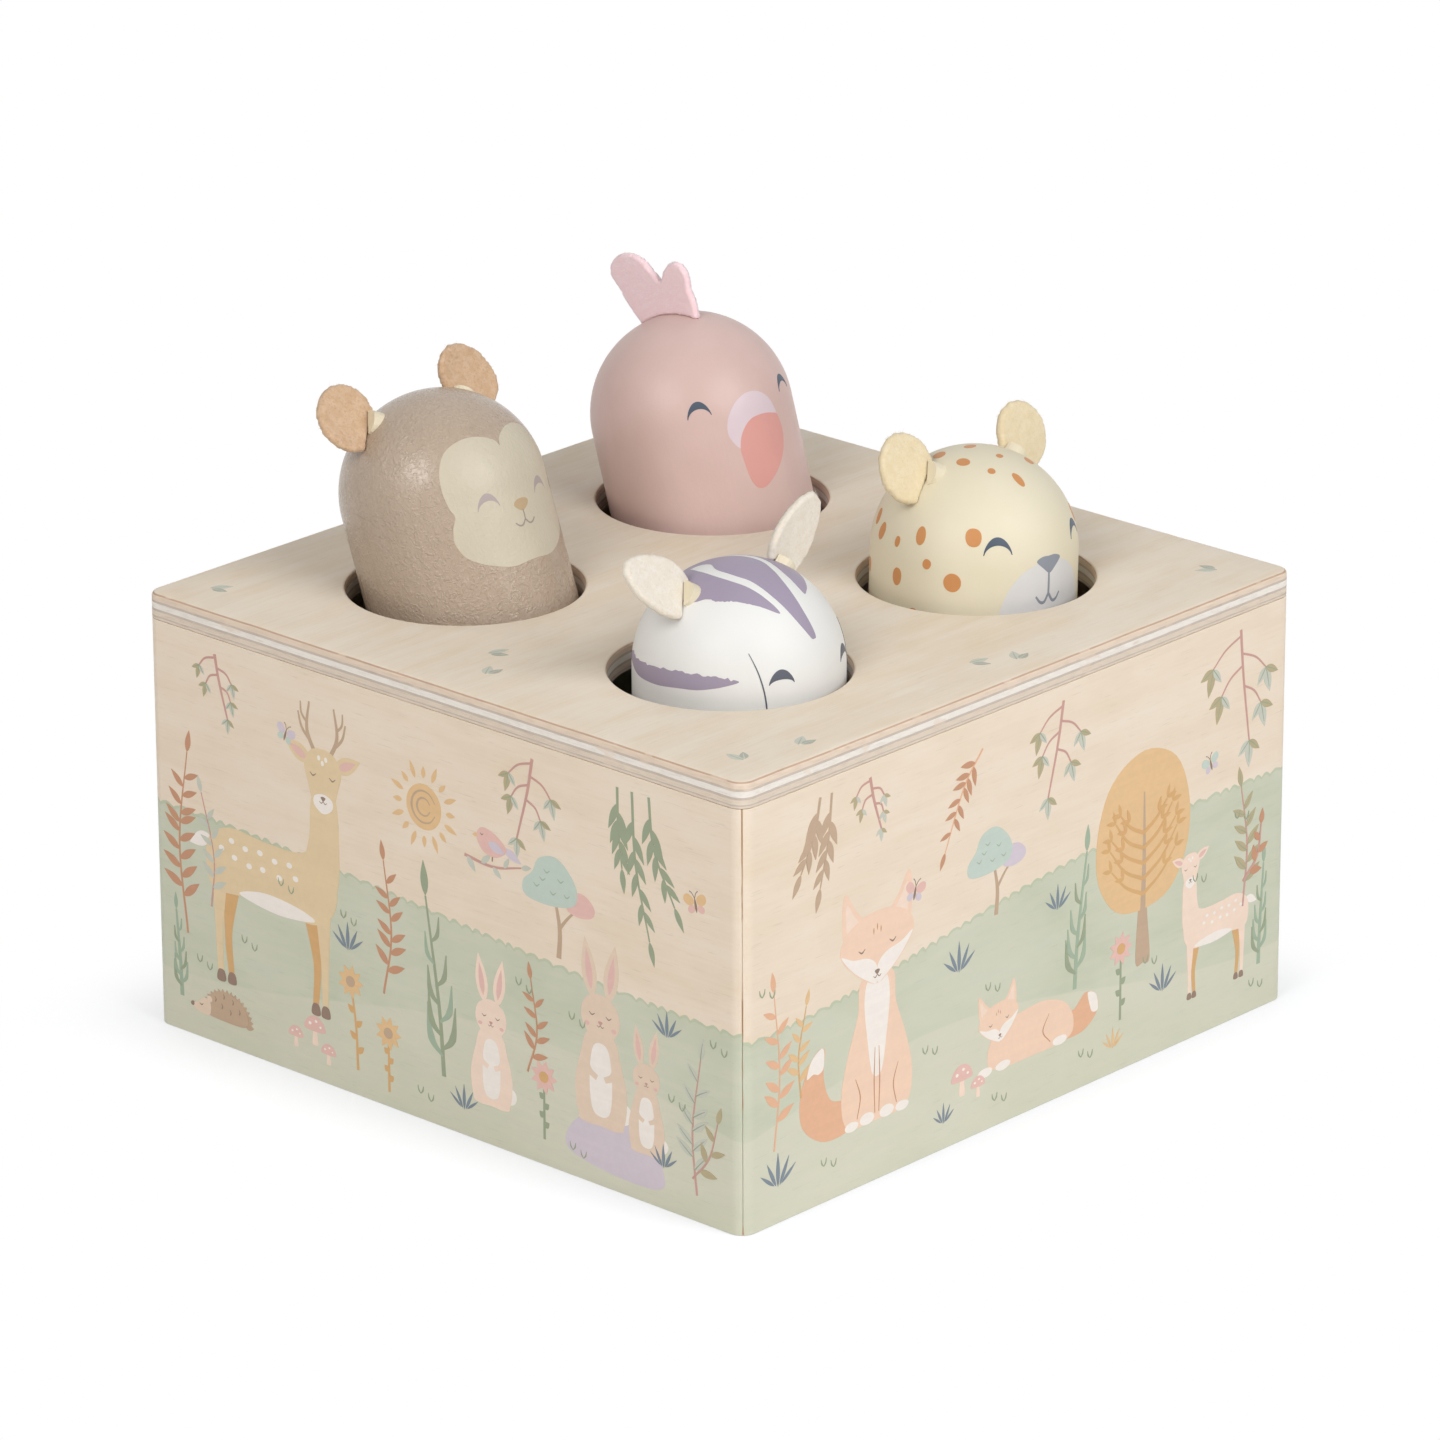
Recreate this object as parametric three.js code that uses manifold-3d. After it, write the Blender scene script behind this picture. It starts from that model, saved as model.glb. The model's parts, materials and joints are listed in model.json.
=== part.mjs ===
// Pop up animal toy: a plywood box with four turned wooden animals that stand on coil springs.
// Millimetres, +Z up. The origin is the middle of the underside, and the animals look toward -Y.
// Left and right are as seen from the front: left is -X.
import * as THREE from 'three';
import { mergeVertices } from 'three/addons/utils/BufferGeometryUtils.js';
import Module from 'manifold-3d';

const wasm = await Module();
wasm.setup();

// Box
const boxWidth = 150;
const boxDepth = 148;
const boxHeight = 85;
const topThickness = 5;
const panelThickness = 5;
const baseThickness = 4;
const cornerRadius = 3;
const edgeEase = 1;
const glueLine = 0.1;

// Holes for the animals, wider than them by the play all round
const holePlay = 2.8;
const holeEase = 0.6;
const holeSpacingShare = 0.4445;

// Clearances
const fitGap = 0.3;
const overrun = 2;

// Turned animals
const pegRadius = 19.15;
const tallPegLength = 65;
const shortPegLength = 50;
const pegFootEase = 1.5;
const pegStubLength = 7;
const stubEase = 0.8;

// Springs
const springRadius = 11.2;
const wireDiameter = 1.2;
const openTurns = 7;
const closedTurns = 1;
const closedPitchShare = 1.5;

// Spring seats and their screws
const seatHeight = 7;
const screwHeadRadius = 3.2;
const screwHeadHeight = 1.7;
const screwShankRadius = 1.5;
const screwBiteShare = 0.75;
const screwTipLength = 1.6;
const crossLength = 3;
const crossWidth = 0.8;
const crossDepth = 1;

// Felt ears and comb
const feltThickness = 1.6;
const earBoreRadius = 2.7;
const earBoreDepth = 8;
const earTongueWidth = 3;
const plugStand = 0.8;
const combWidth = 20;
const combHeight = 12.3;
const combSlotDepth = 4.5;
const combSlotLength = 12;

// Faceting
const pegSides = 40;
const domeSteps = 8;
const holeSides = 48;
const smallSides = 20;
const cornerSteps = 3;
const outlineSteps = 28;
const wireSides = 5;
const curlSteps = 8;

const paint = (color, roughness) => new THREE.MeshStandardMaterial({ color, roughness, metalness: 0 });
const birch = paint(0xe3cfae, 0.6);
const beech = paint(0xd9bd8f, 0.6);
const steel = new THREE.MeshStandardMaterial({ color: 0xb9bcc0, roughness: 0.3, metalness: 1 });

// An ear: its place on the dome, how far it leans outward and its turn about its own length, in
// degrees with the azimuth from the front, and the share of its length from its root to its middle.
const ear = (azimuth, polar, tilt, turn, standShare) => ({ azimuth, polar, tilt, turn, standShare });

// The animals: column and row of their hole. The rise is the height of the dome's middle above the
// board as a share of their length. The offs are shares of the play that the axis stands off the
// hole's middle, and the leans are shares of the slope at which the animal would rest on the rim.
// The ears are sized as shares of the animal's radius.
const animals = [
  {
    name: 'monkey', column: -1, row: 1, length: tallPegLength, riseShare: 0.2646,
    offRight: 0.34, offBack: -0.14, leanRight: -0.03, leanBack: 0.96,
    coat: paint(0xa8968a, 0.4), felt: paint(0xd2a679, 0.95),
    earWidthShare: 0.689, earLengthShare: 0.616, earPoint: 0,
    ears: { left: ear(-105, 36, 60, 26, 0.39), right: ear(100, 38, 50, -14, 0.39) },
  },
  {
    name: 'parrot', column: 1, row: 1, length: tallPegLength, riseShare: 0.2508,
    offRight: 0.05, offBack: -0.06, leanRight: -0.07, leanBack: 0.71,
    coat: paint(0xbd9f97, 0.4), felt: paint(0xf2c9cb, 0.95),
    ears: {},
  },
  {
    name: 'leopard', column: 1, row: -1, length: shortPegLength, riseShare: 0.102,
    offRight: -0.15, offBack: 0.1, leanRight: 0.14, leanBack: 0.05,
    coat: paint(0xe6dcb6, 0.4), felt: paint(0xf0dcae, 0.95),
    earWidthShare: 0.658, earLengthShare: 0.668, earPoint: 0,
    ears: { left: ear(-103, 36, 66, 25, 0.38), right: ear(102, 40, 62, -19, 0.42) },
  },
  {
    name: 'zebra', column: -1, row: -1, length: shortPegLength, riseShare: 0.017,
    offRight: 0.39, offBack: -0.42, leanRight: 0, leanBack: 0,
    coat: paint(0xe9e8e3, 0.4), felt: paint(0xf3ece0, 0.95),
    earWidthShare: 0.71, earLengthShare: 0.898, earPoint: 0.35,
    ears: { left: ear(-103, 39, 58, 36, 0.38), right: ear(93, 34, 48, 4, 0.39) },
  },
];

// Comb outline, from its back root over the two lobes to its front root:
// shares of its width forward of the dome's middle, and of its height above the dome's top.
const combOutlineShares = [
  [-0.38, -0.1], [-0.485, 0.15], [-0.57, 0.46], [-0.64, 0.68], [-0.6, 0.88], [-0.47, 0.99],
  [-0.32, 0.99], [-0.19, 0.88], [-0.09, 0.68], [-0.01, 0.53], [0.04, 0.65], [0.13, 0.77],
  [0.235, 0.8], [0.32, 0.71], [0.355, 0.54], [0.345, 0.34], [0.37, 0.17], [0.37, -0.1],
];

const boardUnderside = boxHeight - topThickness;
const innerWidth = boxWidth - 2 * panelThickness;
const innerDepth = boxDepth - 2 * panelThickness;
const holeRadius = pegRadius + holePlay;
const wireRadius = wireDiameter / 2;
// Coils are faceted, so a stub fits the inside of their flats.
const stubRadius = springRadius * Math.cos(Math.PI / curlSteps) - wireRadius - fitGap;
const seatTop = baseThickness + seatHeight;
const screwTip = baseThickness + screwBiteShare * seatHeight;
const up = new THREE.Vector3(0, 0, 1);

const toy = new THREE.Group();

// A closed geometry as a solid for joining and cutting.
function solid(geometry) {
  const bare = geometry.clone();
  bare.deleteAttribute('normal');
  bare.deleteAttribute('uv');
  const merged = mergeVertices(bare);
  return new wasm.Manifold(new wasm.Mesh({
    numProp: 3,
    vertProperties: new Float32Array(merged.attributes.position.array),
    triVerts: new Uint32Array(merged.index.array),
  }));
}

function geometryOf(body) {
  const mesh = body.getMesh();
  const geometry = new THREE.BufferGeometry();
  geometry.setAttribute('position', new THREE.BufferAttribute(mesh.vertProperties, 3));
  geometry.setIndex(new THREE.BufferAttribute(mesh.triVerts, 1));
  return geometry;
}

function addPiece(parent, name, shape, material) {
  const geometry = shape.isBufferGeometry ? shape : geometryOf(shape);
  const mesh = new THREE.Mesh(geometry, material);
  mesh.name = name;
  parent.add(mesh);
  return mesh;
}

function roundedRectangle(width, depth, radius) {
  const shape = new THREE.Shape();
  const x = width / 2;
  const y = depth / 2;
  const quarter = Math.PI / 2;
  shape.moveTo(x, radius - y);
  shape.absarc(x - radius, y - radius, radius, 0, quarter);
  shape.absarc(radius - x, y - radius, radius, quarter, 2 * quarter);
  shape.absarc(radius - x, radius - y, radius, 2 * quarter, 3 * quarter);
  shape.absarc(x - radius, radius - y, radius, 3 * quarter, 4 * quarter);
  return shape;
}

function prism(shape, low, high) {
  const geometry = new THREE.ExtrudeGeometry(shape, {
    depth: high - low,
    bevelEnabled: false,
    curveSegments: cornerSteps,
  });
  return geometry.translate(0, 0, low);
}

function block(width, depth, low, high) {
  return new THREE.BoxGeometry(width, depth, high - low).translate(0, 0, (low + high) / 2);
}

// A turned shape about Z from (radius, height) points that start and end on the axis.
function turned(points, sides) {
  const profile = points.map(([radius, height]) => new THREE.Vector2(radius, height));
  return new THREE.LatheGeometry(profile, sides).rotateX(Math.PI / 2);
}

// The plan of the box between two heights, drawn in by the ease at its top edge.
function easedPlan(low, high) {
  const body = solid(prism(roundedRectangle(boxWidth, boxDepth, cornerRadius), low, high));
  const bevel = new THREE.ExtrudeGeometry(
    roundedRectangle(boxWidth - 2 * edgeEase, boxDepth - 2 * edgeEase, cornerRadius - edgeEase),
    {
      depth: high - low,
      bevelEnabled: true,
      bevelThickness: edgeEase,
      bevelSize: edgeEase,
      bevelSegments: cornerSteps,
      curveSegments: cornerSteps,
    },
  ).translate(0, 0, low - edgeEase);
  return body.intersect(solid(bevel));
}

function holeCentre(animal) {
  return new THREE.Vector2(animal.column * boxWidth, animal.row * boxDepth)
    .multiplyScalar(holeSpacingShare / 2);
}

// A cutter for one hole of the top board, flared at the upper face by the ease.
function holeCutter(animal) {
  const flare = holeRadius + holeEase;
  const cutter = turned([
    [0, boardUnderside - overrun],
    [holeRadius, boardUnderside - overrun],
    [holeRadius, boxHeight - holeEase],
    [holeRadius + holeEase * (1 - Math.SQRT1_2), boxHeight - holeEase * (1 - Math.SQRT1_2)],
    [flare, boxHeight],
    [flare, boxHeight + overrun],
    [0, boxHeight + overrun],
  ], holeSides);
  const centre = holeCentre(animal);
  return solid(cutter.translate(centre.x, centre.y, 0));
}

function addTopBoard() {
  let board = easedPlan(boardUnderside, boxHeight);
  for (const animal of animals) {
    board = board.subtract(holeCutter(animal));
  }
  addPiece(toy, 'top_board', board, birch);
}

// The wedge of the plan that one side panel fills, its mitres drawn back by half the glue line.
function mitreWedge(turn) {
  const across = turn % 2 === 0 ? boxWidth : boxDepth;
  const along = turn % 2 === 0 ? boxDepth : boxWidth;
  const shape = new THREE.Shape();
  const drawnBack = glueLine * Math.SQRT1_2;
  const outer = across / 2 + overrun - drawnBack;
  const inner = across / 2 - panelThickness - overrun - drawnBack;
  const face = along / 2;
  shape.moveTo(-outer, -face - overrun);
  shape.lineTo(outer, -face - overrun);
  shape.lineTo(inner, -face + panelThickness + overrun);
  shape.lineTo(-inner, -face + panelThickness + overrun);
  return solid(prism(shape, -overrun, boxHeight).rotateZ(turn * Math.PI / 2));
}

function addSidePanels() {
  const outside = solid(prism(roundedRectangle(boxWidth, boxDepth, cornerRadius), 0, boardUnderside));
  const inside = solid(block(innerWidth, innerDepth, -overrun, boxHeight));
  const ring = outside.subtract(inside);
  ['front_panel', 'right_panel', 'back_panel', 'left_panel'].forEach((name, turn) => {
    addPiece(toy, name, ring.intersect(mitreWedge(turn)), birch);
  });
}

function screwHole(radius, low, high) {
  return new THREE.CylinderGeometry(radius, radius, high - low, smallSides)
    .rotateX(Math.PI / 2)
    .translate(0, 0, (low + high) / 2);
}

function addBottomBoard() {
  let board = solid(block(innerWidth, innerDepth, 0, baseThickness));
  const sinkRadius = screwHeadRadius + fitGap;
  const holeWide = screwShankRadius + fitGap;
  const sinkDepth = screwHeadHeight + fitGap;
  for (const animal of animals) {
    const centre = holeCentre(animal);
    const cutter = turned([
      [0, -overrun],
      [sinkRadius, -overrun],
      [sinkRadius, fitGap],
      [holeWide, fitGap + sinkDepth],
      [holeWide, baseThickness + overrun],
      [0, baseThickness + overrun],
    ], smallSides);
    board = board.subtract(solid(cutter.translate(centre.x, centre.y, 0)));
  }
  addPiece(toy, 'bottom_board', board, birch);
}

// The beech stub that centres the foot of the spring.
function addSpringSeat(animal) {
  const centre = holeCentre(animal);
  const stub = turned([
    [0, baseThickness],
    [stubRadius, baseThickness],
    [stubRadius, seatTop - stubEase],
    [stubRadius - stubEase, seatTop],
    [0, seatTop],
  ], smallSides);
  const pilot = screwHole(screwShankRadius + fitGap, baseThickness - overrun, screwTip + fitGap);
  const seat = solid(stub).subtract(solid(pilot)).translate([centre.x, centre.y, 0]);
  addPiece(toy, `${animal.name}_spring_seat`, seat, beech);
}

// The countersunk screw that holds the seat from below, with its cross recess.
function addSeatScrew(animal) {
  const centre = holeCentre(animal);
  const shank = turned([
    [0, fitGap],
    [screwHeadRadius, fitGap],
    [screwShankRadius, fitGap + screwHeadHeight],
    [screwShankRadius, screwTip - screwTipLength],
    [0, screwTip],
  ], smallSides);
  const recessTop = fitGap + crossDepth;
  const slotX = solid(block(crossLength, crossWidth, -overrun, recessTop));
  const slotY = solid(block(crossWidth, crossLength, -overrun, recessTop));
  const screw = solid(shank).subtract(slotX.add(slotY)).translate([centre.x, centre.y, 0]);
  addPiece(toy, `${animal.name}_seat_screw`, screw, steel);
}

// The slope at which an animal clears the rim of its hole by the fit gap, when its axis passes
// the middle of the board this far off the hole's middle.
function restingSlope(off) {
  const reach = holeRadius - fitGap - Math.abs(off);
  const half = topThickness / 2;
  const square = pegRadius * pegRadius - half * half;
  const spare = reach * reach - pegRadius * pegRadius;
  return (Math.sqrt(reach * reach * half * half + square * spare) - reach * half) / square;
}

// The animal's axis where it passes the middle of the board, and its direction.
function stance(animal) {
  const centre = holeCentre(animal);
  const offRight = animal.offRight * holePlay;
  const offBack = animal.offBack * holePlay;
  const axis = new THREE.Vector3(
    animal.leanRight * restingSlope(offRight),
    animal.leanBack * restingSlope(offBack),
    1,
  );
  const slant = axis.length();
  const pivot = new THREE.Vector3(
    centre.x + offRight,
    centre.y + offBack,
    boxHeight - topThickness / 2,
  );
  const domeMiddle = animal.riseShare * animal.length + slant * topThickness / 2;
  return {
    pivot,
    axis: axis.normalize(),
    domeMiddle,
    underside: domeMiddle + pegRadius - animal.length,
  };
}

// The dome and body of an animal, swelled by a clearance, from a height below the dome's middle.
function bodyProfile(domeMiddle, low, radius) {
  const points = [[radius, low]];
  for (let step = 0; step <= domeSteps; step += 1) {
    const angle = (step / domeSteps) * Math.PI / 2;
    const reach = step === domeSteps ? 0 : radius * Math.cos(angle);
    points.push([reach, domeMiddle + radius * Math.sin(angle)]);
  }
  return points;
}

function pegSolid(place) {
  const foot = place.underside;
  const stubEnd = foot - pegStubLength;
  return solid(turned([
    [0, stubEnd],
    [stubRadius - stubEase, stubEnd],
    [stubRadius, stubEnd + stubEase],
    [stubRadius, foot],
    [pegRadius - pegFootEase, foot],
    ...bodyProfile(place.domeMiddle, foot + pegFootEase, pegRadius),
  ], pegSides));
}

// Where an ear stands: its root on the dome, its length direction and its facing direction.
function earFrame(spec, domeMiddle) {
  const azimuth = THREE.MathUtils.degToRad(spec.azimuth);
  const polar = THREE.MathUtils.degToRad(spec.polar);
  const tilt = THREE.MathUtils.degToRad(spec.tilt);
  const outward = new THREE.Vector3(Math.sin(azimuth), -Math.cos(azimuth), 0);
  const root = outward.clone().multiplyScalar(pegRadius * Math.sin(polar));
  root.z = domeMiddle + pegRadius * Math.cos(polar);
  const length = outward.clone().multiplyScalar(Math.sin(tilt));
  length.z = Math.cos(tilt);
  const facing = new THREE.Vector3(-outward.y, outward.x, 0);
  if (facing.y > 0) {
    facing.negate();
  }
  facing.applyAxisAngle(length, THREE.MathUtils.degToRad(spec.turn));
  const width = new THREE.Vector3().crossVectors(length, facing);
  const matrix = new THREE.Matrix4().makeBasis(width, length, facing).setPosition(root);
  return matrix;
}

// The felt leaf in its own plane: X across, Y along the ear from its root.
function earLeaf(animal, standShare) {
  const points = [];
  for (let step = 0; step < outlineSteps; step += 1) {
    const angle = (step / outlineSteps) * 2 * Math.PI;
    const narrowing = 1 - animal.earPoint * (1 + Math.sin(angle)) / 2;
    points.push(new THREE.Vector2(
      animal.earWidthShare * Math.cos(angle) * narrowing / 2,
      animal.earLengthShare * (standShare + Math.sin(angle) / 2),
    ).multiplyScalar(pegRadius));
  }
  return prism(new THREE.Shape(points), -feltThickness / 2, feltThickness / 2);
}

function addEar(group, animal, side, peg, place) {
  const frame = earFrame(animal.ears[side], place.domeMiddle);
  const swelled = solid(turned([
    [0, place.underside],
    ...bodyProfile(place.domeMiddle, place.underside, pegRadius + fitGap),
  ], pegSides));
  const boreOffset = earBoreRadius - fitGap - feltThickness / 2 - plugBack();
  const along = (radius, low, high) => new THREE.CylinderGeometry(radius, radius, high - low, smallSides)
    .translate(0, (low + high) / 2, boreOffset);
  const bore = solid(along(earBoreRadius, -earBoreDepth, overrun + plugStand).applyMatrix4(frame));
  const leaf = solid(earLeaf(animal, animal.ears[side].standShare).applyMatrix4(frame)).subtract(swelled);
  const tongueLow = fitGap - earBoreDepth;
  const tongueHigh = plugStand + overrun;
  const tongue = new THREE.BoxGeometry(earTongueWidth, tongueHigh - tongueLow, feltThickness)
    .translate(0, (tongueLow + tongueHigh) / 2, 0);
  addPiece(group, `${animal.name}_${side}_ear`, leaf.add(solid(tongue.applyMatrix4(frame))), animal.felt);

  const plugDepth = 2 * earBoreRadius;
  const flat = new THREE.BoxGeometry(plugDepth, 2 * earBoreDepth, plugDepth)
    .translate(0, 0, feltThickness / 2 + fitGap + plugDepth / 2);
  const dowel = along(earBoreRadius - fitGap, tongueLow, plugStand);
  const plug = solid(dowel).intersect(solid(flat)).transform(frame.elements);
  addPiece(group, `${animal.name}_${side}_ear_plug`, plug, beech);
  return peg.subtract(bore);
}

// How far the felt sits off the wall of its bore, so that its corners clear it.
function plugBack() {
  const reach = earBoreRadius - fitGap;
  return reach - Math.sqrt(reach * reach - earTongueWidth * earTongueWidth / 4);
}

function addComb(group, animal, peg, place) {
  const domeTop = place.domeMiddle + pegRadius;
  const tongueLow = domeTop - combSlotDepth + fitGap;
  const points = combOutlineShares.map(([forward, rise]) => new THREE.Vector2(
    forward * combWidth,
    domeTop + rise * combHeight,
  ));
  const tongueHalf = combSlotLength / 2 - fitGap;
  const shape = new THREE.Shape();
  shape.moveTo(points[0].x, points[0].y);
  shape.splineThru(points.slice(1));
  const upright = (geometry) => geometry.rotateX(Math.PI / 2).rotateZ(-Math.PI / 2);
  const leaf = upright(prism(shape, -feltThickness / 2, feltThickness / 2));
  const swelled = solid(turned([
    [0, place.underside],
    ...bodyProfile(place.domeMiddle, place.underside, pegRadius + fitGap),
  ], pegSides));
  const tongueHigh = domeTop + combHeight / 3;
  const tongue = block(feltThickness, 2 * tongueHalf, tongueLow, tongueHigh);
  const slot = block(feltThickness + 2 * fitGap, combSlotLength, domeTop - combSlotDepth, domeTop + overrun);
  const comb = solid(leaf).subtract(swelled).add(solid(tongue));
  addPiece(group, `${animal.name}_comb`, comb, animal.felt);
  return peg.subtract(solid(slot));
}

function addAnimal(animal) {
  const place = stance(animal);
  const group = new THREE.Group();
  group.position.copy(place.pivot);
  group.quaternion.setFromUnitVectors(up, place.axis);
  let peg = pegSolid(place);
  for (const side of Object.keys(animal.ears)) {
    peg = addEar(group, animal, side, peg, place);
  }
  if (animal.name === 'parrot') {
    peg = addComb(group, animal, peg, place);
  }
  addPiece(group, `${animal.name}_peg`, peg, animal.coat);
  toy.add(group);
}

// The middle line of a spring: up its seat, over to the leaning stub, and along that.
function springLine(animal) {
  const place = stance(animal);
  const centre = holeCentre(animal);
  const along = (height) => place.pivot.clone().addScaledVector(place.axis, height);
  const low = baseThickness + fitGap + wireRadius;
  const high = place.underside - fitGap - wireRadius;
  const foot = new THREE.Vector3(centre.x, centre.y, low);
  const seatEnd = new THREE.Vector3(centre.x, centre.y, seatTop);
  const stubEnd = along(place.underside - pegStubLength);
  const head = along(high);
  const pull = seatEnd.distanceTo(stubEnd) / 3;
  const path = new THREE.CurvePath();
  path.add(new THREE.LineCurve3(foot, seatEnd));
  path.add(new THREE.CubicBezierCurve3(
    seatEnd,
    seatEnd.clone().addScaledVector(up, pull),
    stubEnd.clone().addScaledVector(place.axis, -pull),
    stubEnd,
  ));
  path.add(new THREE.LineCurve3(stubEnd, head));
  return { path, axis: place.axis, length: path.getLength() };
}

// The share of the spring's length reached after a number of turns: close turns at both ends.
function climb(turn, length) {
  const closedShare = closedTurns * closedPitchShare * wireDiameter / length;
  const total = openTurns + 2 * closedTurns;
  if (turn < closedTurns) {
    return closedShare * turn / closedTurns;
  }
  if (turn > total - closedTurns) {
    return 1 - closedShare * (total - turn) / closedTurns;
  }
  return closedShare + (1 - 2 * closedShare) * (turn - closedTurns) / openTurns;
}

function springPoints(animal) {
  const { path, axis, length } = springLine(animal);
  const total = openTurns + 2 * closedTurns;
  const steps = total * curlSteps;
  const points = [];
  for (let step = 0; step <= steps; step += 1) {
    const turn = step / curlSteps;
    const share = climb(turn, length);
    const normal = up.clone().lerp(axis, share).normalize();
    const level = new THREE.Quaternion().setFromUnitVectors(up, normal);
    const angle = 2 * Math.PI * turn;
    const arm = new THREE.Vector3(Math.cos(angle), Math.sin(angle), 0).applyQuaternion(level);
    points.push(path.getPointAt(share).addScaledVector(arm, springRadius));
  }
  return points;
}

// The least clear distance between turns of a wire through these points.
function leastGap(points) {
  let least = Infinity;
  for (let a = 0; a < points.length; a += 1) {
    for (let b = a + curlSteps - 2; b < points.length; b += 1) {
      const chord = new THREE.Line3(points[b], points[Math.min(b + 1, points.length - 1)]);
      const nearest = chord.closestPointToPoint(points[a], true, new THREE.Vector3());
      least = Math.min(least, nearest.distanceTo(points[a]) - wireDiameter);
    }
  }
  return least;
}

// A closed wire of round section through the points.
function wire(points) {
  const positions = [];
  const faces = [];
  const last = points.length - 1;
  points.forEach((point, index) => {
    const before = points[Math.max(index - 1, 0)];
    const after = points[Math.min(index + 1, last)];
    const along = after.clone().sub(before).normalize();
    const side = new THREE.Vector3().crossVectors(along, up).normalize();
    const over = new THREE.Vector3().crossVectors(side, along);
    for (let k = 0; k < wireSides; k += 1) {
      const angle = (k / wireSides) * 2 * Math.PI;
      const corner = point.clone()
        .addScaledVector(side, wireRadius * Math.cos(angle))
        .addScaledVector(over, wireRadius * Math.sin(angle));
      positions.push(corner.x, corner.y, corner.z);
    }
  });
  for (let ring = 0; ring < last; ring += 1) {
    for (let k = 0; k < wireSides; k += 1) {
      const a = ring * wireSides + k;
      const b = ring * wireSides + (k + 1) % wireSides;
      faces.push(a, a + wireSides, b, b, a + wireSides, b + wireSides);
    }
  }
  for (let k = 1; k < wireSides - 1; k += 1) {
    const end = last * wireSides;
    faces.push(0, k, k + 1, end, end + k + 1, end + k);
  }
  const geometry = new THREE.BufferGeometry();
  geometry.setAttribute('position', new THREE.Float32BufferAttribute(positions, 3));
  geometry.setIndex(faces);
  return geometry;
}

function addSpring(animal) {
  const points = springPoints(animal);
  console.log(`${animal.name}_spring: least gap between turns ${leastGap(points).toFixed(2)} mm`);
  addPiece(toy, `${animal.name}_spring`, wire(points), steel);
}

addTopBoard();
addSidePanels();
addBottomBoard();
for (const animal of animals) {
  addSpringSeat(animal);
  addSeatScrew(animal);
  addSpring(animal);
  addAnimal(animal);
}

export default toy;
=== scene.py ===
"""Looks of the pop up animal toy: a printed plywood box with four turned, painted animals.

Left and right are as seen from the front, as in the frame: left is -X, and the animals look toward -Y.
Lengths are in millimetres and become metres through MM. Angles are in degrees, azimuth from the front.
"""
import json
import math
import random

import bmesh
import bpy
import numpy as np
from mathutils import Matrix, Vector, noise
from mathutils.geometry import delaunay_2d_cdt


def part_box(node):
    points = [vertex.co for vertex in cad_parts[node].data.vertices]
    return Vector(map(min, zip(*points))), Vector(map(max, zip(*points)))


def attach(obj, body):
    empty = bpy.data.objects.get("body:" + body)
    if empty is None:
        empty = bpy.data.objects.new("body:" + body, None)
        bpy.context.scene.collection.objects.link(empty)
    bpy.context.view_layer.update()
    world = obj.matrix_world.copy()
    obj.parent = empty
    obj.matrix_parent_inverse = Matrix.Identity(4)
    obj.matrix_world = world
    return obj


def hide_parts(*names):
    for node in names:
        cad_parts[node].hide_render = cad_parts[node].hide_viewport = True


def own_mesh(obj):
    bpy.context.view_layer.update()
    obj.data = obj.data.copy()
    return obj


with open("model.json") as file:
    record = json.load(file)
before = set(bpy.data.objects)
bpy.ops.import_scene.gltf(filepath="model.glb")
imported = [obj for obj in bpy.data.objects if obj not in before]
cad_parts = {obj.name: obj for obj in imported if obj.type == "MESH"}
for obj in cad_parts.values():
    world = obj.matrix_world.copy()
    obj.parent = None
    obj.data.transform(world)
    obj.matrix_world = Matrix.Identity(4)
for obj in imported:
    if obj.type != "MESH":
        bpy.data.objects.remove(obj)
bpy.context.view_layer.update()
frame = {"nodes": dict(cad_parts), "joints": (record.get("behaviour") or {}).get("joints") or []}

MM = 0.001

# Box, read from the frame where it says so
board_low, board_high = (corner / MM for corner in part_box("top_board"))
BOX_WIDTH = board_high.x - board_low.x
BOX_DEPTH = board_high.y - board_low.y
BOX_HEIGHT = board_high.z
TOP_THICKNESS = board_high.z - board_low.z
PANEL_HEIGHT = board_low.z
PANEL_THICKNESS = 5
BASE_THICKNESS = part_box("bottom_board")[1].z / MM
CORNER_RADIUS = 3
EDGE_EASE = 0.9
PANEL_EASE = 0.12
MITRE_DRAWN_BACK = 0.03
BOARD_GAP = 0.06
SIDES = ("front", "right", "back", "left")

# Holes and turned animals
HOLE_SPACING_SHARE = 0.4445
HOLE_PLAY = 2.8
HOLE_EASE = 0.6
PEG_RADIUS = 19.15
PEG_FOOT_EASE = 1.5
PEG_STUB_LENGTH = 7
PEG_STUB_RADIUS = 9.4
STUB_EASE = 0.8
HOLE_RADIUS = PEG_RADIUS + HOLE_PLAY

# Springs
SPRING_RADIUS = 11.2
WIRE_RADIUS = 0.6
OPEN_TURNS = 7
CLOSED_TURNS = 1
CLOSED_PITCH = 1.8
FIT_GAP = 0.3
SEAT_HEIGHT = 7

# Felt, and how deep it is let into the dome
FELT_THICKNESS = 1.6
FELT_ROUNDING = 0.55
FELT_SINK = 0.15
COMB_WIDTH = 20
COMB_HEIGHT = 12.3
COMB_ROOT = 3.2
FIBRE_RADIUS = 0.024

# Paint and ink stand this far proud of what they are on, and each further layer a little more
PAINT_LIFT = 0.035
LAYER_LIFT = 0.005
PAINT_SKIRT = 0.08

# Relief of the finishes
GRAIN_RELIEF = 0.03
GLUE_LINE_RELIEF = 0.04
PEEL_RELIEF = 0.06
INK_RELIEF = 0.02
FELT_RELIEF = 0.12
BEECH_RELIEF = 0.04
STEEL_RELIEF = 0.01

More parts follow.
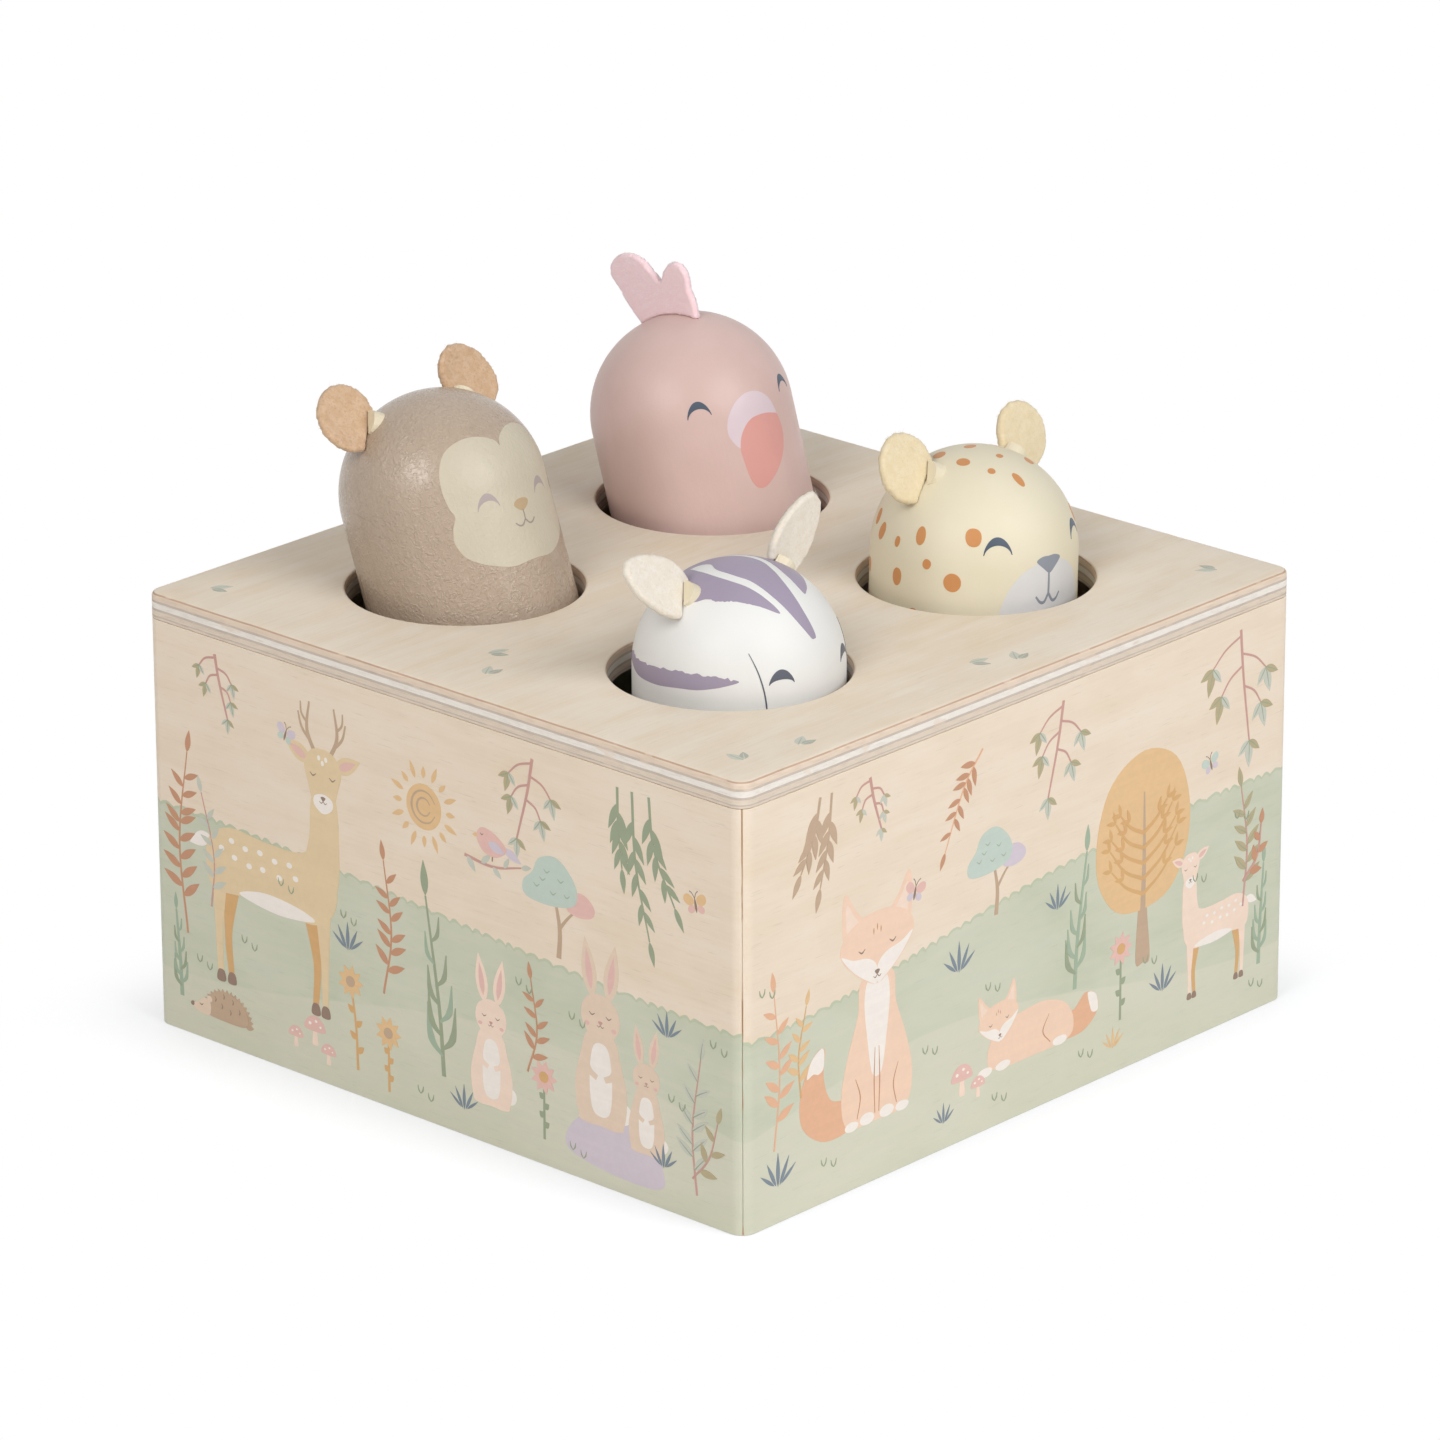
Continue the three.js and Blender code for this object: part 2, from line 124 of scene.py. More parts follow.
# How far apart the inner points of flat shapes are, and how many steps go round or along the curved ones
BOARD_MESH = 6
PRINT_MESH = 12
FELT_MESH = 0.42
CORNER_STEPS = 10
MITRE_STEPS = 8
HOLE_SIDES = 120
EASE_STEPS = 4
PEG_SIDES = 144
PEG_SIDE_STEPS = 8
DOME_STEPS = 40
EAR_STEPS = 90
OVAL_STEPS = 28
WIRE_STEPS_PER_TURN = 32
WIRE_SIDES = 10
BEND_STEPS = 60

# The photograph's view, from its vanishing points: yaw, pitch and roll, place in metres, and lens
CAMERA_TURNS = (42.72, -20.52, -0.21)
CAMERA_PLACE = (-1.04, -0.96, 0.5872)
CAMERA_LENS = 204.9

# Soft lights as name, azimuth toward the right, elevation, distance and size in metres, power and colour; the point
# in metres that they look at; and the surround's light and the floor's
LIGHTS = (
    ("key light", 2, 36, 1.4, 0.95, 12.0, (0.98, 0.985, 1)),
    ("left light", -82, 38, 1.4, 0.75, 8.7, (1, 0.98, 0.965)),
    ("back light", 140, 65, 1.6, 1.2, 1.2, (1, 1, 1)),
)
LIGHTS_AIM = (0, 0, 0.06)
AMBIENT_STRENGTH = 0.22
FLOOR_REACH = 4000
FLOOR_DROP = 0.05
# The floor's own glow in the open, and a dimmer glow that ambient occlusion within the reach in millimetres blends in
# near the box, a painted shadow; then the span in millimetres out from the box over which the floor fades to plain
# white
OPEN_FLOOR_GLOW = 0.69
PAINTED_SHADOW_FLOOR_GLOW = 0.42
PAINTED_SHADOW_REACH = 20
SHADOW_FADE = (1, 28)

# Corners of the box that the animals stand at, as (right, back) signs
CORNERS = {"monkey": (-1, 1), "parrot": (1, 1), "leopard": (1, -1), "zebra": (-1, -1)}

# Ears as width, length, how pointed, cupped and ragged they are, and their loose fibres; then for each side its
# azimuth, polar angle, tilt and turn on the dome, and the share of its length from its root to its middle
EAR_SHAPES = {
    "monkey": dict(width=14.0, length=12.4, point=0, cup=0.012, ragged=0.03, hairs=90,
                   left=((-105, 36, 60, 26), 0.39), right=((100, 38, 50, -14), 0.39)),
    "leopard": dict(width=13.4, length=13.1, point=0, cup=-0.008, ragged=0.035, hairs=200,
                    left=((-103, 36, 66, 25), 0.38), right=((102, 40, 62, -19), 0.42)),
    "zebra": dict(width=13.4, length=16.8, point=0.35, cup=0.01, ragged=0.03, hairs=340,
                  left=((-103, 39, 58, 36), 0.38), right=((93, 34, 48, 4), 0.39)),
}

# Paints of the faces, as colour, roughness and how much orange peel they have
PAINTS = {
    "cream paint": ("ccc3ae", 0.38, 2.4), "lilac grey paint": ("aea19e", 0.4, 1.6), "tan paint": ("bfa582", 0.4, 0.5),
    "warm grey paint": ("a2958c", 0.4, 0.4), "lilac paint": ("ddccd3", 0.38, 0.5), "coral paint": ("dca098", 0.38, 0.8),
    "slate paint": ("4a5565", 0.4, 0.4), "slate grey paint": ("8d939c", 0.4, 0.6), "white paint": ("d9d8d7", 0.38, 0.5),
    "orange paint": ("cb8e58", 0.42, 0.9), "violet paint": ("9f94a7", 0.42, 0.9),
    "charcoal paint": ("5b5e69", 0.4, 0.4),
}

# Inks of the prints
INKS = {
    "fawn gold": "dfc8a2", "deep gold": "d3a873", "rust leaf": "c29172", "bark brown": "bea48b",
    "hare beige": "e0cab5", "moss green": "98a287", "sea green": "9fb09a", "pale teal": "bfccc1",
    "dusk blue": "7d8994", "rose twig": "c69a90", "blush pink": "e0b8ae", "fox peach": "ecccb4",
    "pale peach": "eed6c4", "milk white": "efe7df", "leaf grey": "c3c5b8", "stone": "a9ab9f", "olive leaf": "b4a785",
    "sun ochre": "dfbb8c", "soft orange": "e0b08f", "soft lilac": "cfc4cd", "umber line": "937b6c",
}
COOL_LEAVES = ["leaf grey", "olive leaf"]
WARM_LEAVES = ["rust leaf", "soft orange"]
PINK_FLOWER = ("blush pink", "deep gold", "moss green")
GOLD_FLOWER = ("sun ochre", "bark brown", "deep gold")

# Height on the sides that twigs hang from
CANOPY = 77


def linear(hex_colour):
    """A colour written as in a paint list, such as e3cfae, as linear red, green and blue."""
    shares = [int(hex_colour[i:i + 2], 16) / 255 for i in (0, 2, 4)]
    return tuple(s / 12.92 if s <= 0.04045 else ((s + 0.055) / 1.055) ** 2.4 for s in shares)


class Level:
    """The number on a node's socket. A sum of levels adds its own Math nodes."""

    def __init__(self, tree, socket):
        self.tree = tree
        self.socket = socket

    def math(self, operation, *values):
        made = self.tree.add("ShaderNodeMath", {"operation": operation}, dict(enumerate(values)))
        return Level(self.tree, made.outputs[0])

    def __add__(self, other):
        return self.math("ADD", self, other)

    def __radd__(self, other):
        return self.math("ADD", other, self)

    def __sub__(self, other):
        return self.math("SUBTRACT", self, other)

    def __rsub__(self, other):
        return self.math("SUBTRACT", other, self)

    def __mul__(self, other):
        return self.math("MULTIPLY", self, other)

    def __rmul__(self, other):
        return self.math("MULTIPLY", other, self)

    def __truediv__(self, other):
        return self.math("DIVIDE", self, other)

    def sine(self):
        return self.math("SINE", self)

    def size(self):
        return self.math("ABSOLUTE", self)

    def step(self, low, high):
        """0 below low, 1 above high, and smooth between."""
        spread = self.tree.add(
            "ShaderNodeMapRange", {"interpolation_type": "SMOOTHSTEP"},
            {"Value": self, "From Min": low, "From Max": high},
        )
        return Level(self.tree, spread.outputs["Result"])


class Tree:
    """A node tree, built node by node."""

    def __init__(self, tree):
        self.nodes = tree.nodes
        self.links = tree.links

    def add(self, kind, settings=None, inputs=None):
        node = self.nodes.new(kind)
        for key, value in (settings or {}).items():
            setattr(node, key, value)
        for key, value in (inputs or {}).items():
            self.feed(node.inputs[key], value)
        return node

    def feed(self, socket, value):
        if isinstance(value, Level):
            value = value.socket
        if isinstance(value, str):
            value = linear(value)
        if isinstance(value, bpy.types.NodeSocket):
            self.links.new(value, socket)
        elif isinstance(value, tuple) and len(value) == 3 and socket.type == "RGBA":
            socket.default_value = (*value, 1)
        else:
            socket.default_value = value

    def blend(self, share, first, second):
        """The first shader where the share is 0 and the second where it is 1."""
        return self.add("ShaderNodeMixShader", {}, {0: share, 1: first, 2: second}).outputs[0]

    def seen(self):
        """1 where the camera, a reflection or a look through something meets this shader, else 0."""
        path = self.add("ShaderNodeLightPath")
        met = Level(self, path.outputs["Is Camera Ray"])
        for ray in ("Is Glossy Ray", "Is Transmission Ray"):
            met = met.math("MAXIMUM", met, path.outputs[ray])
        return met


class Finish(Tree):
    """One material."""

    def __init__(self, name, roughness, **fixed):
        self.material = bpy.data.materials.new(name)
        self.material.use_nodes = True
        super().__init__(self.material.node_tree)
        self.shader = self.nodes["Principled BSDF"]
        self.set(Roughness=roughness, **fixed)

    def set(self, **inputs):
        for socket, value in inputs.items():
            self.feed(self.shader.inputs[socket.replace("_", " ")], value)

    def along(self, axis):
        """How far along an axis of the piece's own frame the point is, in metres."""
        point = self.add("ShaderNodeTexCoord").outputs["Object"]
        return Level(self, self.add("ShaderNodeSeparateXYZ", {}, {"Vector": point}).outputs[axis])

    def noise(self, scale, detail, distortion=0.0, squeeze=(1, 1, 1)):
        """Noise in the piece's own frame, this many times finer along X, Y and Z."""
        point = self.add("ShaderNodeTexCoord").outputs["Object"]
        place = self.add("ShaderNodeMapping", {}, {"Vector": point, "Scale": squeeze}).outputs["Vector"]
        made = self.add(
            "ShaderNodeTexNoise", {},
            {"Vector": place, "Scale": scale, "Detail": detail, "Distortion": distortion},
        )
        return Level(self, made.outputs["Fac"])

    def mix(self, share, first, second):
        return self.add("ShaderNodeMix", {"data_type": "RGBA"}, {0: share, 6: first, 7: second}).outputs[2]

    def layers(self, share, stops):
        """Colours that change at once at each stop."""
        made = self.add("ShaderNodeValToRGB", {}, {"Fac": share})
        ramp = made.color_ramp
        ramp.interpolation = "CONSTANT"
        while len(ramp.elements) < len(stops):
            ramp.elements.new(1)
        for element, (position, colour) in zip(ramp.elements, stops):
            element.position = position
            element.color = (*linear(colour), 1)
        return made.outputs["Color"]

    def bump(self, height, relief):
        """Relief of this height in millimetres, on top of any relief already there."""
        before = [link.from_socket for link in self.links if link.to_socket == self.shader.inputs["Normal"]]
        made = self.add("ShaderNodeBump", {}, {"Height": height, "Distance": relief * MM, "Strength": 1.0})
        if before:
            self.feed(made.inputs["Normal"], before[0])
        self.feed(self.shader.inputs["Normal"], made.outputs["Normal"])


def grain(finish, direction, pale, dark):
    """Birch figure along an axis: slow bands, fine fibre and short pores, with their relief. Returns the colour,
    the pores and the fibre."""
    wide, fine, short = (tuple(1 if axis == direction else finer for axis in "XYZ") for finer in (12, 30, 2.5))
    bands = finish.noise(9, 4, 1.2, wide)
    fibre = finish.noise(55, 3, squeeze=fine)
    pores = finish.noise(190, 2, squeeze=fine).step(0.64, 0.74)
    mottled = finish.noise(75, 4, squeeze=short)
    share = (bands * 0.4 + fibre * 0.25 + mottled * 0.45).step(0.3, 0.85)
    colour = finish.mix(share, pale, dark)
    colour = finish.mix(pores * 0.22, colour, tuple(0.55 * c for c in linear(dark)))
    finish.bump(fibre * 0.6 - pores * 0.5, GRAIN_RELIEF)
    return colour, pores, fibre


def inner_birch():
    """Plain birch, for the board inside the box."""
    finish = Finish("inner birch", roughness=0.52, Specular_IOR_Level=0.35)
    colour, _, fibre = grain(finish, "X", "dfcdb0", "d5bf9f")
    finish.set(Base_Color=colour, Roughness=0.5 + fibre * 0.12)
    return finish


def plywood_board():
    """The top board: a birch face, and its plies and glue lines where an edge or a hole cuts it."""
    finish = Finish("birch board", roughness=0.52, Specular_IOR_Level=0.35)
    colour, _, fibre = grain(finish, "X", "e8decf", "decdb3")
    depth = BOX_HEIGHT * MM - finish.along("Z")
    wander = finish.noise(60, 2) - 0.5
    share = (depth + wander * (0.16 * MM)) / (TOP_THICKNESS * MM)
    tan, white, cream = "e6d3bf", "f1ebe2", "e3d4c2"
    brown, grey = "c3a58f", "cdbfb2"
    plies = finish.layers(share, [
        (0.0, brown), (0.075, tan), (0.27, grey), (0.36, white), (0.58, grey),
        (0.67, cream), (0.85, grey), (0.9, cream),
    ])
    streaks = finish.noise(420, 2, squeeze=(1, 1, 25)).step(0.5, 0.72)
    plies = finish.mix(streaks * 0.16, plies, "b59c84")
    gaps = finish.noise(150, 2, squeeze=(1, 1, 3)).step(0.6, 0.66)
    plies = finish.mix(gaps * 0.5, plies, tan)
    cut = share.step(0.025, 0.04)
    finish.set(Base_Color=finish.mix(cut, colour, plies), Roughness=0.52 + cut * 0.2 + fibre * 0.08)
    finish.bump(streaks * cut * -1.0, GLUE_LINE_RELIEF)
    return finish


def printed_panel(name, direction, middle, waves):
    """A side panel: birch sky over a sage meadow with a scalloped edge, printed straight on the wood.
    The meadow's edge is at a middle height, with waves as (height, radians per metre, phase)."""
    finish = Finish(name, roughness=0.5, Specular_IOR_Level=0.35)
    colour, pores, fibre = grain(finish, direction, "ecdecc", "e4d1b8")
    across = finish.along(direction)
    height = finish.along("Z")
    horizon = (finish.noise(900, 2) - 0.5) * (0.5 * MM) + middle * MM
    for rise, often, phase in waves:
        horizon = horizon + (across * often + phase).sine() * (rise * MM)
    swing = finish.noise(90, 1) * 9
    horizon = horizon + (across * 1020 + swing).sine().size() * (0.7 * MM)
    meadow = (horizon - height).step(-0.06 * MM, 0.06 * MM)
    rim = (horizon - height - 0.55 * MM).step(-0.1 * MM, 0.15 * MM)
    washed = finish.noise(34, 4, 0.6, (1, 1, 2.2)).step(0.3, 0.75)
    green = finish.mix(washed, "c9ceba", "bdc5ad")
    near = 18 * MM + (across * 33 + 2.4).sine() * (6 * MM)
    green = finish.mix((near - height).step(-0.1 * MM, 0.5 * MM) * 0.55, green, "d6d5c2")
    green = finish.mix((1 - rim) * 0.55, green, "aebb9b")
    green = finish.mix(pores * 0.16, green, "8f9478")
    inner = finish.noise(120, 2, squeeze=(1, 1, 6)).step(0.3, 0.7)
    colour = finish.mix(meadow * (0.93 - inner * 0.1), colour, green)
    x, y = finish.along("X"), finish.along("Y")
    off_corner = (x.size() - y.size() - (BOX_WIDTH - BOX_DEPTH) / 2 * MM).size()
    worn = finish.noise(260, 3, squeeze=(1, 1, 0.25)).step(0.42, 0.5)
    bare = (1 - off_corner.step(0.16 * MM, 0.3 * MM)) * worn
    colour = finish.mix(bare * 0.8, colour, "bf9872")
    finish.set(Base_Color=colour, Roughness=0.5 + fibre * 0.12 - meadow * 0.04)
    return finish


def satin_paint(name, colour, shade, roughness, brushed, peel):
    """Satin paint on turned wood: a fine orange peel, wrinkles where it is thick, and fibre that shows through."""
    finish = Finish(name, roughness=roughness, Coat_Weight=0.14 * brushed, Coat_Roughness=0.2,
                    Specular_IOR_Level=0.3 + 0.15 * brushed)
    cloud = finish.noise(70, 3)
    fibre = finish.noise(60, 3, squeeze=(26, 26, 1))
    skin = finish.noise(1500, 2, squeeze=(1, 1, 0.7))
    coarse = finish.noise(620, 2, squeeze=(1, 1, 0.5))
    veil = cloud * (1 - 0.4 * brushed) + fibre * (0.4 * brushed)
    tint = finish.mix(veil.step(0.35, 0.65) * 0.5, colour, shade)
    finish.set(Base_Color=tint, Roughness=roughness - 0.05 + cloud * 0.1 + coarse * 0.05)
    wrinkled = finish.noise(1050, 3, 1.2).step(0.42, 0.68)
    finish.bump(skin * 0.5 + coarse * 0.5 + wrinkled * (0.6 * brushed), PEEL_RELIEF * peel)
    return finish


def ink(name, colour):
    """Print on wood: flat colour, thin enough that the grain shows a little."""
    finish = Finish(name, roughness=0.48, Specular_IOR_Level=0.35)
    fibre = finish.noise(60, 3, squeeze=(1, 1, 14))
    speckle = finish.noise(900, 2).step(0.35, 0.7)
    thin = (fibre.step(0.35, 0.7) * 0.5 + speckle * 0.4) * 0.35
    tint = finish.mix(thin, colour, tuple(min(1, 1.18 * c) for c in linear(colour)))
    finish.set(Base_Color=tint, Roughness=0.48 + fibre * 0.1)
    finish.bump(fibre * 0.5 + speckle * 0.3, INK_RELIEF)
    return finish


def felt(name, colour, fleck, dark, sheen=0.3):
    """Pressed felt: matted fibre in several sizes, with darker flecks."""
    finish = Finish(name, roughness=0.95, Sheen_Weight=sheen, Sheen_Roughness=0.6, Specular_IOR_Level=0.15)
    matted = finish.noise(2600, 4, 1.5)
    clumps = finish.noise(700, 4, 0.8)
    flecks = finish.noise(2300, 2, 0.6).step(0.5, 0.7)
    tint = finish.mix(clumps.step(0.3, 0.7), colour, fleck)
    tint = finish.mix(flecks * 0.3, tint, dark)
    finish.set(Base_Color=tint)
    finish.bump(matted + clumps * 0.6, FELT_RELIEF)
    return finish


def beech():
    """Bare turned beech, its figure along Z and its short rays across."""
    finish = Finish("beech", roughness=0.6, Specular_IOR_Level=0.3)
    fibre = finish.noise(50, 3, squeeze=(30, 30, 1))
    rays = finish.noise(700, 2, squeeze=(1, 1, 8)).step(0.55, 0.7)
    tint = finish.mix(fibre.step(0.35, 0.7), "e3d2ac", "d2b98d")
    tint = finish.mix(rays * 0.25, tint, "b5946a")
    finish.set(Base_Color=tint, Roughness=0.55 + fibre * 0.15)
    finish.bump(fibre - rays * 0.4, BEECH_RELIEF)
    return finish


def drawn_steel(name, colour, roughness):
    """Metal with drawing marks across Z."""
    finish = Finish(name, roughness=roughness, Metallic=1.0)
    drawn = finish.noise(800, 3)
    marks = finish.noise(1600, 2, squeeze=(1, 1, 6)).step(0.5, 0.7)
    tint = finish.mix(drawn.step(0.3, 0.7), colour, tuple(0.8 * c for c in linear(colour)))
    finish.set(Base_Color=tint, Roughness=roughness - 0.05 + drawn * 0.14 + marks * 0.08)
    finish.bump(marks, STEEL_RELIEF)
    return finish


def smooth(mesh, angle):
    """Shades a mesh smooth but for edges sharper than the angle."""
    mesh.shade_smooth()
    mesh.set_sharp_from_angle(angle=math.radians(angle))


def make_mesh(name, points, faces, finishes, material_of=None, smooth_angle=40):
    """A piece from points in millimetres and faces. material_of gives each face's number among the finishes."""
    mesh = bpy.data.meshes.new(name)
    mesh.from_pydata([Vector(p) * MM for p in points], [], faces)
    mesh.validate()
    for finish in finishes:
        mesh.materials.append(finish.material)
    if material_of is not None:
        mesh.polygons.foreach_set("material_index", material_of)
    smooth(mesh, smooth_angle)
    piece = bpy.data.objects.new(name, mesh)
    bpy.context.scene.collection.objects.link(piece)
    return piece


def settle(piece, body, stands_for=(), placed=None):
    """Puts a piece in place, on the body that it moves with and for the nodes that it stands for."""
    if placed is not None:
        piece.matrix_world = placed
    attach(piece, body)
    if stands_for:
        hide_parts(*stands_for)


def curve_run(before, here, after, beyond, steps):
    """The points of a smooth curve from here up to the knot after."""
    return [0.5 * (2 * here + (after - before) * t + (2 * before - 5 * here + 4 * after - beyond) * t ** 2
                   + (3 * here - before - 3 * after + beyond) * t ** 3) for t in np.arange(steps) / steps]


def closed_curve(points, steps=6):
    """Points along a smooth closed curve through these points."""
    knots = np.array(points, float)
    count = len(knots)
    made = []
    for i in range(count):
        made += curve_run(*(knots[(i + k) % count] for k in (-1, 0, 1, 2)), steps)
    return np.array(made)


def open_curve(points, steps=8):
    """Points along a smooth curve from the first of these points to the last."""
    knots = [2 * np.array(points[0], float) - np.array(points[1], float)]
    knots += [np.array(p, float) for p in points]
    knots.append(2 * knots[-1] - knots[-2])
    made = []
    for four in zip(knots, knots[1:], knots[2:], knots[3:]):
        made += curve_run(*four, steps)
    made.append(knots[-2])
    return np.array(made)


def inside(outline, points):
    """Which points lie inside a closed outline."""
    x, y = points[:, 0], points[:, 1]
    odd = np.zeros(len(points), bool)
    for (x0, y0), (x1, y1) in zip(outline, np.roll(outline, -1, axis=0)):
        if y0 == y1:
            continue
        crosses = (y0 > y) != (y1 > y)
        odd ^= crosses & (x < (x1 - x0) * (y - y0) / (y1 - y0) + x0)
    return odd


def rim_distance(outline, points):
    """How far each point is from the outline."""
    least = np.full(len(points), np.inf)
    for start, end in zip(outline, np.roll(outline, -1, axis=0)):
        run = end - start
        length = max(run @ run, 1e-12)
        share = np.clip(((points - start) @ run) / length, 0, 1)
        least = np.minimum(least, np.hypot(*(points - start - share[:, None] * run).T))
    return least


def signed_area(flat, triangle):
    """Twice the area of a flat triangle, below zero if it runs clockwise."""
    a, b, c = (flat[k] for k in triangle)
    return (b[0] - a[0]) * (c[1] - a[1]) - (b[1] - a[1]) * (c[0] - a[0])


def fill(outline, spacing, holes=()):
    """Points and counter-clockwise triangles that fill an outline, the inner points about this far apart."""
    low, high = outline.min(0), outline.max(0)
    xs = np.arange(low[0], high[0], spacing)
    ys = np.arange(low[1], high[1], spacing * 0.87)
    rows = [(x + (spacing / 2 if j % 2 else 0), y) for j, y in enumerate(ys) for x in xs]
    grid = np.array(rows, float).reshape(-1, 2)
    keep = inside(outline, grid) & (rim_distance(outline, grid) > spacing * 0.45)
    for hole in holes:
        keep &= ~inside(hole, grid) & (rim_distance(hole, grid) > spacing * 0.45)
    loops = [outline, *holes]
    flat = np.vstack([*loops, grid[keep]])
    edges = []
    start = 0
    for loop in loops:
        count = len(loop)
        edges += [(start + i, start + (i + 1) % count) for i in range(count)]
        start += count
    made = delaunay_2d_cdt([Vector(p) for p in flat], edges, [], 0, 1e-6)
    points = np.array([tuple(p) for p in made[0]])
    triangles = np.array([tuple(f) for f in made[2]])
    middles = points[triangles].mean(1)
    solid = inside(outline, middles)
    for hole in holes:
        solid &= ~inside(hole, middles)
    triangles = triangles[solid]
    if len(triangles) and signed_area(points, triangles[0]) < 0:
        triangles = triangles[:, ::-1]
    return points, [tuple(triangle) for triangle in triangles.tolist()]


def rim_edges(triangles):
    """Directed edges that belong to one triangle only, in the triangles' order."""
    edges = dict.fromkeys(edge for a, b, c in triangles for edge in ((a, b), (b, c), (c, a)))
    return [edge for edge in edges if (edge[1], edge[0]) not in edges]


class Sheets:
    """Thin painted shapes gathered into one piece, each on its own layer and laid with lay(flat points, lift)."""

    def __init__(self, lay):
        self.lay = lay
        self.points = []
        self.faces = []
        self.inks = []
        self.names = []
        self.boxes = []

    def add(self, outline, spacing, ink_name):
        """Fills an outline and lays it over what was drawn there before."""
        outline = np.array(outline, float)
        low, high = outline.min(0), outline.max(0)
        under = [rank for rank, least, most in self.boxes if (low < most).all() and (least < high).all()]
        rank = 1 + max(under, default=0)
        self.boxes.append((rank, low, high))
        flat, triangles = fill(outline, spacing)
        if not triangles:
            return
        top = self.lay(flat, PAINT_LIFT + LAYER_LIFT * rank)
        rim = rim_edges(triangles)
        lows = sorted({i for edge in rim for i in edge})
        foot = dict(zip(lows, range(len(top), len(top) + len(lows))))
        skirt = self.lay(flat[lows], PAINT_LIFT - PAINT_SKIRT)
        start = len(self.points)
        self.points += [tuple(p) for p in np.vstack([top, skirt])]
        faces = triangles + [(b, a, foot[a], foot[b]) for a, b in rim]
        if ink_name not in self.names:
            self.names.append(ink_name)
        self.faces += [tuple(start + i for i in face) for face in faces]
        self.inks += [self.names.index(ink_name)] * len(faces)

    def piece(self, name, finishes):
        return make_mesh(name, self.points, self.faces, [finishes[n] for n in self.names], self.inks)


def rounded_plan(width, depth, radius):
    """Corner by corner points round a rectangle with round corners, counter-clockwise."""
    plan = []
    for turn, (right, back) in enumerate(((1, 1), (-1, 1), (-1, -1), (1, -1))):
        for step in range(CORNER_STEPS + 1):
            angle = (turn + step / CORNER_STEPS) * math.pi / 2
            plan.append((right * (width / 2 - radius) + radius * math.cos(angle),
                         back * (depth / 2 - radius) + radius * math.sin(angle)))
    return np.array(plan)


def ring_plan(middle, radius):
    """Points round a hole, counter-clockwise."""
    angles = np.arange(HOLE_SIDES) / HOLE_SIDES * 2 * math.pi
    return np.column_stack([middle[0] + radius * np.cos(angles), middle[1] + radius * np.sin(angles)])


def hole_middle(animal):
    """The place on the box of the hole that an animal stands in."""
    right, back = CORNERS[animal]
    return np.array([right * BOX_WIDTH, back * BOX_DEPTH]) * HOLE_SPACING_SHARE / 2


def eased(ease, top, bottom):
    """Inward offsets and heights down an edge that is rounded at the top and a little at the bottom."""
    angles = [step / EASE_STEPS * math.pi / 2 for step in range(EASE_STEPS + 1)]
    low = ease * 0.25
    levels = [(ease * (1 - math.sin(a)), top - ease * (1 - math.cos(a))) for a in angles]
    return levels + [(low * (1 - math.cos(a)), bottom + low * (1 - math.sin(a))) for a in angles]


def top_board(finish):
    """The board with its four holes, every edge eased."""
    bottom = BOX_HEIGHT - TOP_THICKNESS
    outer = eased(EDGE_EASE, BOX_HEIGHT, bottom)
    stacks = [[(rounded_plan(BOX_WIDTH - 2 * d, BOX_DEPTH - 2 * d, CORNER_RADIUS - d), z) for d, z in outer]]
    around = eased(HOLE_EASE, BOX_HEIGHT, bottom)
    for animal in CORNERS:
        stacks.append([(ring_plan(hole_middle(animal), HOLE_RADIUS + d), z) for d, z in around])
    points, faces = [], []
    for number, stack in enumerate(stacks):
        start, count = len(points), len(stack[0][0])
        for plan, z in stack:
            points += [(x, y, z) for x, y in plan]
        faces += [face if number == 0 else face[::-1] for face in ring_faces(start, count, len(stack), down=True)]
    for level, z, flip in ((0, BOX_HEIGHT, 1), (-1, bottom, -1)):
        loops = [stack[level][0] for stack in stacks]
        flat, triangles = fill(loops[0], BOARD_MESH, loops[1:])
        start = len(points)
        points += [(x, y, z) for x, y in flat]
        faces += [tuple(start + k for k in triangle[::flip]) for triangle in triangles]
    board = make_mesh("birch_top_board", points, faces, [finish], smooth_angle=50)
    weld(board)
    settle(board, "box", ["top_board"])


def ring_faces(start, count, rings, down=False):
    """The faces between rings of this many points each, which run on from the start, upward or downward."""
    made = []
    for low in range(start, start + (rings - 1) * count, count):
        for k in range(count):
            a, b = low + k, low + (k + 1) % count
            made.append((a, a + count, b + count, b) if down else (a, b, b + count, a + count))
    return made


def weld(piece):
    """Joins points that coincide."""
    work = bmesh.new()
    work.from_mesh(piece.data)
    bmesh.ops.remove_doubles(work, verts=work.verts, dist=0.002 * MM)
    work.to_mesh(piece.data)
    work.free()


def soften(piece, width):
    """Rounds the sharp edges of a piece by this width."""
    edge = piece.modifiers.new("eased edges", "BEVEL")
    edge.width = width * MM
    edge.segments = 2
    edge.limit_method = "ANGLE"
    edge.angle_limit = math.radians(35)
    edge.harden_normals = True


def rotated(x, y, angle):
    """A place, or all of them, turned about the origin by an angle in radians."""
    c, s = math.cos(angle), math.sin(angle)
    return x * c - y * s, x * s + y * c


